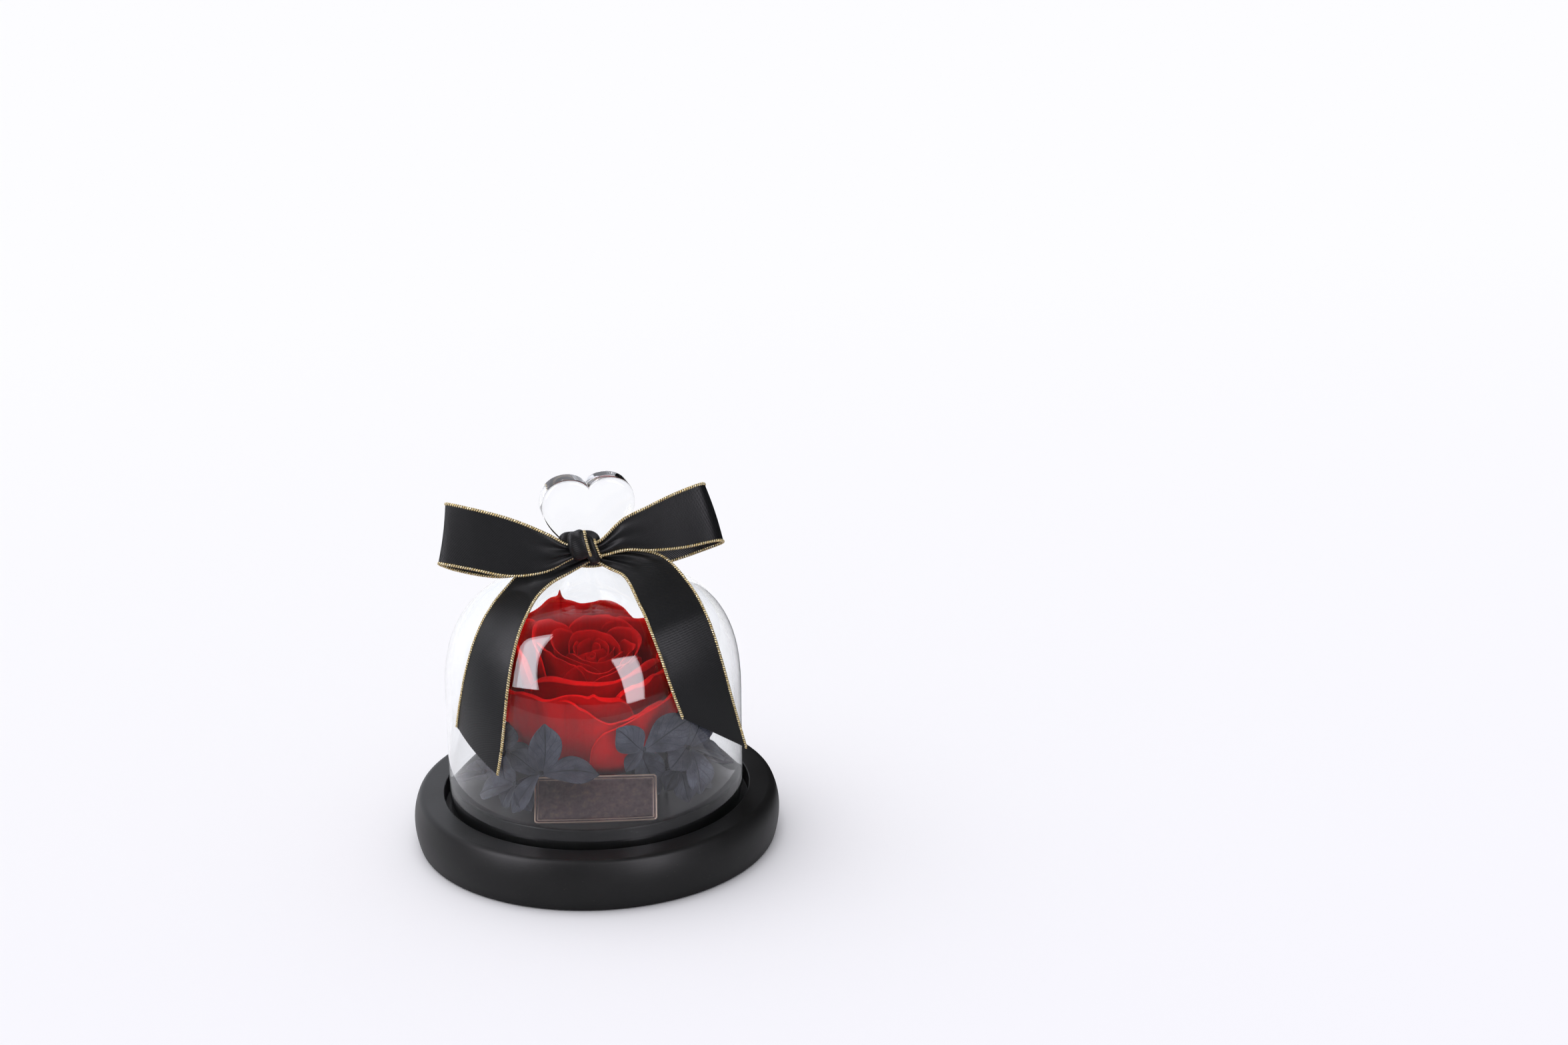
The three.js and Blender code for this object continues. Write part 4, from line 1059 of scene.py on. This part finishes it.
def spunSepals(floret, index):
    # the centre of a floret and its four sepals, in the plane that it faces; every second one
    # stands a little higher
    upright = Matrix.Rotation(np.radians(90 - floret["lean"]), 3, "X")
    axes = np.array(Matrix.Rotation(np.radians(floret["around"]), 3, "Z") @ upright)
    centre = turnedPoints(np.array([0, -floret["distance"], floret["height"]], float), floret["around"])
    sepals = []
    for k in range(4):
        angle = np.radians(floret["spin"] + 90 * k + chance.uniform(-9, 9))
        length = floret["size"] * (1 + 0.14 * np.cos(2.4 * k + index))
        tip = centre + axes @ (length * np.array([np.cos(angle), np.sin(angle), 0.04 if k % 2 else 0.14]))
        sepals.append((tip, axes[:, 2], sepal["width"] * length, chance.uniform(-0.05, 0.1), chance.uniform(0.8, 1.2)))
    return centre, sepals


def floretParts(centre, sepals):
    # the sepals round a lobed bead, and a stalk: a quadratic curve that rises from its foot to a
    # knee and bends over to the centre
    parts = [sepalParts(centre, *shape, chance.uniform(0, 6), tone) for *shape, tone in sepals]
    front = unit(np.mean([unit(facing) for _, facing, *_ in sepals], 0))
    u, v = np.meshgrid(fullTurn(sepal["beadColumns"]), np.linspace(0, np.pi, sepal["beadRows"]))
    radius = sepal["beadRadius"] * (1 + sepal["beadLobes"] * np.cos(4 * u) * np.sin(v))
    bead = ringOf(radius * np.sin(v), u, radius * np.cos(v)) + centre + sepal["beadOut"] * front
    parts.append(closedGrid(bead, tone=np.full(u.shape, sepal["beadTone"])))
    x, y = np.array(centre[:2]) * sepal["stalkAt"] / np.hypot(*centre[:2])
    foot, knee = np.array([[x, y, sepal["stalkFoot"]], [x, y, centre[2] + 2]])
    t = np.linspace(0, 1, sepal["stalkPoints"])[:, None]
    bent = (1 - t) ** 2 * foot + 2 * t * (1 - t) * knee + t ** 2 * np.array(centre)
    stalk = tube(bent, sepal["stalkRadius"], sepal["stalkSegments"])
    stalk["tone"] += sepal["stalkTone"]
    stalk["uv"] += (0.3, 0.5)
    return [*parts, stalk]


def makeFlorets():
    material = preservedSepal()
    for index, floret in enumerate(florets):
        shown = "sepals" in floret
        centre, sepals = (floret["centre"], floret["sepals"]) if shown else spunSepals(floret, index)
        number = f"{index + 1:02d}"
        makePiece(f"hydrangeaFloret{number}", floretParts(centre, sepals), material,
                  [f"hydrangea_floret_{number}"], weld=True)


makeFlorets()
print(len(florets), "florets are set round it")


bow = {
    "turn": -9.6,
    "ribbonWidth": 25,
    "thickness": 0.34,
    "glassClearance": 1.0,
    "rows": 150,
    "columns": 31,
    # the pleats across a strip, how deep they are at a gathered end, and how far they reach from
    # its start and its end; past them the strip is cupped
    "pleats": 2.5,
    "pleatDepth": 0.75,
    "gatherReach": (13, 11),
    "cupping": 0.5,
}
# both edges of each strip in the bow's own turn: x along the bow, y back through it
strips = {
    "leftLoop": {
        "lower": [(-5.2, -12.4, 124.6), (-8.9, -12.6, 122.8), (-17, -12.8, 118.8), (-31, -11, 116.8),
                  (-47, -7.5, 119.2), (-59.6, -1.5, 119.8), (-53, 3.6, 114.8), (-36, 3.2, 111.4), (-19, 0.4, 114.4),
                  (-10, -1.6, 115.6), (-7, -3.4, 117)],
        "upper": [(-5.2, -12.2, 128.6), (-8.9, -12.4, 129.6), (-15, -12, 133.4), (-30, -10, 140), (-47, -6.5, 144.2),
                  (-55.6, -0.5, 144.2), (-49, 4.4, 139.2), (-34, 4, 134.4), (-18, 1.6, 128.6), (-10, -0.6, 123.4),
                  (-7, -2.4, 122)],
        "gathers": (1, 1),
    },
    "rightLoop": {
        "lower": [(1.2, -12.4, 125.2), (4.9, -12.6, 124.6), (14.5, -12.8, 126.6), (25, -11.4, 125.6), (38, -8, 125.2),
                  (51.5, -3, 125.8), (53.8, 1.5, 123.4), (45.5, 4.8, 119), (29, 3.4, 114.6), (16, 0.8, 114.8),
                  (10, -1.6, 116), (7, -3.4, 117.4)],
        "upper": [(1.2, -12.2, 129.4), (4.9, -12.4, 131), (13.7, -12, 139), (23, -10.4, 143), (34, -7, 147),
                  (45.5, -2, 149.4), (46.6, 2, 147.4), (39.5, 5.2, 142.4), (26, 4, 136.4), (14.5, 2, 129.6),
                  (10, -0.6, 123.6), (7, -2.4, 122)],
        "gathers": (1, 1),
    },
    "leftTail": {
        "lower": [(0.4, -10.2, 121.6), (-8, -11.9, 117.5), (-14.8, -15.2, 114.9), (-21, -22.5, 111.6),
                  (-26, -33.5, 105.6), (-30, -43, 96), (-32.6, -48, 86), (-34.4, -49.6, 73), (-36.4, -48.8, 59),
                  (-38.5, -47.2, 47.6)],
        "upper": [(-8.6, -8.4, 124.6), (-16, -7.4, 124.2), (-24.5, -5, 118.6), (-32.5, -7, 111.2), (-39.4, -17, 105.8),
                  (-44.8, -26, 97), (-48.6, -30.5, 87), (-51.6, -31.2, 76), (-53.2, -30, 68), (-54.4, -28.4, 60.6)],
        "gathers": (1, 0),
    },
    "rightTail": {
        "lower": [(3, -10.4, 121.4), (8.2, -12.2, 118.7), (13.4, -15.6, 116.8), (18.8, -29, 109.9), (23.7, -43, 101),
                  (28.3, -50, 88), (31.1, -51.6, 79.2), (34.1, -50.6, 69.8)],
        "upper": [(7.6, -8.6, 123.6), (18, -7.4, 124.6), (29, -7.4, 121.4), (38.6, -16.5, 113.4), (45.4, -30.5, 103.6),
                  (50.2, -37.6, 88.5), (53.8, -38.2, 73), (59.6, -34, 48.8)],
        "gathers": (1, 0),
    },
}
knot = {
    "pleats": 2,
    "pleatDepth": 0.3,
    "aroundPoints": 72,
    "acrossPoints": 41,
    # the length of ribbon inside the knot, out of sight
    "takenUp": 34,
    # centre, half sizes, lean to the left in degrees, and where across it the gold edge runs; the
    # last is the gathered hump behind, without an edge
    "folds": [((-3.7, -13.3, 129.4), (4.1, 3.4, 6.4), 13, 0.82), ((1.1, -11.7, 126.4), (2.7, 2.6, 6.0), 19, 0.88),
              ((-3.6, -9.5, 128.4), (8.3, 2.3, 5.9), 0, 0)],
}
wrap = {
    "bottom": 118.7,
    "top": 124.4,
    "frontRise": 1.5,
    "frontHalf": 30,
    "radius": 8.15,
    "pleats": 3,
    "pleatDepth": 0.35,
    "aroundPoints": 144,
    "acrossPoints": 25,
}
edging = {"gold": 0.4, "dark": 0.26, "twist": 0.27, "pitch": 0.95, "sides": 6, "stepsPerTurn": 8}


def wovenSatin():
    # polyester satin ribbon: near black, smooth long floats that give a soft sheen across the
    # ribbon, and the slanted twill line that shows close up; the UV map is in millimetres
    material, tree = newMaterial("blackSatinWeave", Roughness=0.36, Specular_IOR_Level=0.38, Anisotropic=0.5)
    place = addNode(tree, "TexCoord", output="UV")
    # twill lines 0.62 mm apart, coarser than a real satin's, so that they show; floats 0.3 mm wide
    slant = addNode(tree, "Mapping", {"Vector": place, "Rotation": (0, 0, np.radians(58)), "Scale": [0.507] * 3})
    twill = addNode(tree, "TexWave", {"Vector": slant, "Scale": 1, "Distortion": 0.25, "Detail": 1}, output="Fac")
    threads = addNode(tree, "Mapping", {"Vector": place, "Scale": (3.2, 0.12, 1)})
    floats = addNode(tree, "TexNoise", {"Vector": threads, "Scale": 1, "Detail": 2})
    colour = addNode(tree, "ValToRGB", [twill], stops=[(0.2, "#0b0c0d"), (0.8, "#202124")])
    rough = addNode(tree, "MapRange", [floats, 0.0, 1.0, 0.28, 0.42])
    height = addNode(tree, "Math", [floats, 0.5, twill], operation="MULTIPLY_ADD")
    relief = addNode(tree, "Bump", {"Height": height, "Strength": 0.4, "Distance": 0.16 * mm})
    tangent = addNode(tree, "Tangent", direction_type="UV_MAP", uv_map="UVMap")
    return joinSurface(material, Base_Color=colour, Roughness=rough, Normal=relief, Tangent=tangent)


def goldLurex():
    # metallic thread: flat foil twisted round a core, pale gold, with painted glints in small facets
    material, tree = newMaterial("goldLurexThread", Metallic=0.4, Roughness=0.28)
    place = addNode(tree, "TexCoord", output="Object")
    # facets of about 0.4 mm
    facets = addNode(tree, "TexVoronoi", {"Vector": place, "Scale": 2600})
    hue = facets.node.outputs["Color"]
    # the facets run from the foil's pale gold up to near white, which is painted glint
    colour = addNode(tree, "ValToRGB", [hue], stops=[(0.15, "#cfae66"), (1.0, "#fffbe8"), (0.55, "#f6e0a8")])
    rough = addNode(tree, "MapRange", [facets, 0.0, 1.0, 0.2, 0.45])
    relief = addNode(tree, "Bump", {"Height": facets, "Strength": 0.7, "Distance": 0.15 * mm})
    return joinSurface(material, Base_Color=colour, Roughness=rough, Normal=relief)


def clearOfGlass(points):
    # the dome drawn out by the clearance is the surface where (rise ^ p + across ^ p) ^ (1 / p) is
    # one, p being 2 / roundness; a point inside it moves straight out from the shoulder's middle
    clearance, power = bow["glassClearance"], 2 / dome["roundness"]
    lift = points[..., 2] - dome["shoulder"]
    rise = np.maximum(lift, 0) / (dome["capHeight"] + clearance)
    across = np.hypot(points[..., 0], points[..., 1]) / (dome["radius"] + clearance)
    reach = np.minimum((rise ** power + across ** power) ** (1 / power), 1)
    moved = points / reach[..., None]
    moved[..., 2] = np.where(lift > 0, dome["shoulder"] + lift / reach, points[..., 2])
    return moved


def stripSurface(strip):
    # straight across from one edge curve to the other. At a gathered end it is thrown into pleats
    # along its normal, which fade by exp(-(distance / reach) squared) and leave it a little cupped
    places = np.linspace(0, 1, bow["rows"])
    lower, upper = (catmullRom(strip[edge], places) for edge in ("lower", "upper"))
    u = np.linspace(0, 1, bow["columns"])
    points = lower[:, None] * (1 - u[:, None]) + upper[:, None] * u[:, None]
    length = travelled((lower + upper) / 2)
    ends = zip(strip["gathers"], (length, length[-1] - length), bow["gatherReach"])
    gather = sum(held * np.exp(-(distance / reach) ** 2) for held, distance, reach in ends)[:, None]
    pleats = bow["pleatDepth"] * np.sin(2 * np.pi * bow["pleats"] * u + 0.6) * gather
    cupped = bow["cupping"] * np.sin(np.pi * u) * (1 - gather)
    offset = (pleats - cupped) * np.sin(np.pi * np.clip(u * 12, 0, 0.5))
    uv = np.stack(np.broadcast_arrays(u * bow["ribbonWidth"], length[:, None]), -1)
    return clearOfGlass(points + gridNormals(points) * offset[..., None]), uv, length[-1]


def twistedEdge(path, closed=False):
    # a gold and a dark strand wound round the edge line: centre + twist x (cos, sin)(turns along
    # the length), so that beads of gold show between dark gaps
    if closed:
        path = np.concatenate([path, path[:1]])
    fine, length = evenly(path, int(travelled(path)[-1] / edging["pitch"] * edging["stepsPerTurn"]))
    if closed:
        fine = fine[:-1]
    turns = np.round(length / edging["pitch"])
    side, up = frames(fine)
    angle = np.linspace(0, 2 * np.pi * turns, len(fine), endpoint=not closed)[:, None]
    strands = []
    for kind, start in (("gold", 0), ("dark", np.pi)):
        wound = fine + edging["twist"] * (np.cos(angle + start) * side + np.sin(angle + start) * up)
        strands.append(tube(wound, edging[kind], edging["sides"], closed))
    return strands


def knotSurface(centre, radii, lean):
    # one fold of the knot: a barrel whose radius dips along the pleats that run over it; rows go
    # from its left end to its right end
    angle = fullTurn(knot["aroundPoints"])
    around, across = np.meshgrid(angle, np.linspace(-np.pi / 2, np.pi / 2, knot["acrossPoints"]))
    ring = np.cos(across) ** 0.5
    dip = knot["pleatDepth"] * np.cos(knot["pleats"] * 2 * across + 0.6 * np.sin(around)) * ring
    wide, deep, tall = radii
    points = [wide * np.sin(across), (deep - dip) * ring * np.cos(around), (tall - dip) * ring * np.sin(around)]
    uv = np.stack([(across / np.pi + 0.5) * bow["ribbonWidth"] / 2, around * 5.2], -1)
    return turnedPoints(np.stack(points, -1), -lean, "Y") + centre, uv


def wrapSurface():
    # the band round the neck: a thin closed ring with pleats running round it, a little higher in
    # front, where the knot sits; first the rows of its outer face, then those of its inner face
    angle = fullTurn(wrap["aroundPoints"])
    around, v = np.meshgrid(angle, np.linspace(0, 1, wrap["acrossPoints"]))
    fromFront = np.degrees(np.arccos(np.clip(-np.sin(around), -1, 1)))
    top = wrap["top"] + wrap["frontRise"] * np.exp(-(fromFront / wrap["frontHalf"]) ** 2)
    height = wrap["bottom"] + (top - wrap["bottom"]) * v + 0.2 * np.sin(2 * around)
    pleats = (1 + np.sin(2 * np.pi * wrap["pleats"] * v + 0.5 * np.sin(around))) * np.sin(np.pi * v) ** 0.3
    outer = ringOf(wrap["radius"] + bow["thickness"] + wrap["pleatDepth"] * pleats, around, height)
    inner = ringOf(wrap["radius"], around, height)
    uv = np.stack([v * bow["ribbonWidth"], around * 8], -1)
    return np.concatenate([outer, inner[::-1]]), np.concatenate([uv, uv[::-1]])


def makeBow():
    cloth, edges, total = [], [], 0
    for name, strip in strips.items():
        points, uv, length = stripSurface(strip)
        points = turnedPoints(points, bow["turn"])
        cloth.append(thickSheet(points, bow["thickness"], uv))
        edges += twistedEdge(points[:, 0]) + twistedEdge(points[:, -1])
        total += length
        wide = np.linalg.norm(points[:, -1] - points[:, 0], axis=1).mean()
        print("  strip", name, round(length, 1), "mm long,", round(float(wide), 1), "mm wide on average")
    for *shape, edgeAt in knot["folds"]:
        points, uv = knotSurface(*shape)
        points = turnedPoints(points, bow["turn"])
        cloth.append(closedGrid(points, uv))
        row = int(edgeAt * (len(points) - 1))
        edges += twistedEdge(points[row], closed=True) if row else []
    points, uv = wrapSurface()
    points = turnedPoints(points, bow["turn"])
    cloth.append(closedGrid(points, uv, wrapRows=True))
    for row in (0, wrap["acrossPoints"] - 1):
        edges += twistedEdge(points[row], closed=True)
    total += 2 * np.pi * wrap["radius"] + knot["takenUp"]
    nodes = ["ribbon_knot", "ribbon_neck_wrap", "ribbon_left_loop", "ribbon_right_loop", "ribbon_left_tail",
             "ribbon_right_tail"]
    satin = wovenSatin()
    ribbon = makePiece("ribbonBow", cloth, satin, nodes, weld=True)
    gold = makePiece("ribbonGoldThread", edges[::2], goldLurex(), weld=True)
    dark = makePiece("ribbonDarkThread", edges[1::2], satin, weld=True)
    print("  the ribbon is cut to", round(total), "mm")


makeBow()
print("bow is tied")
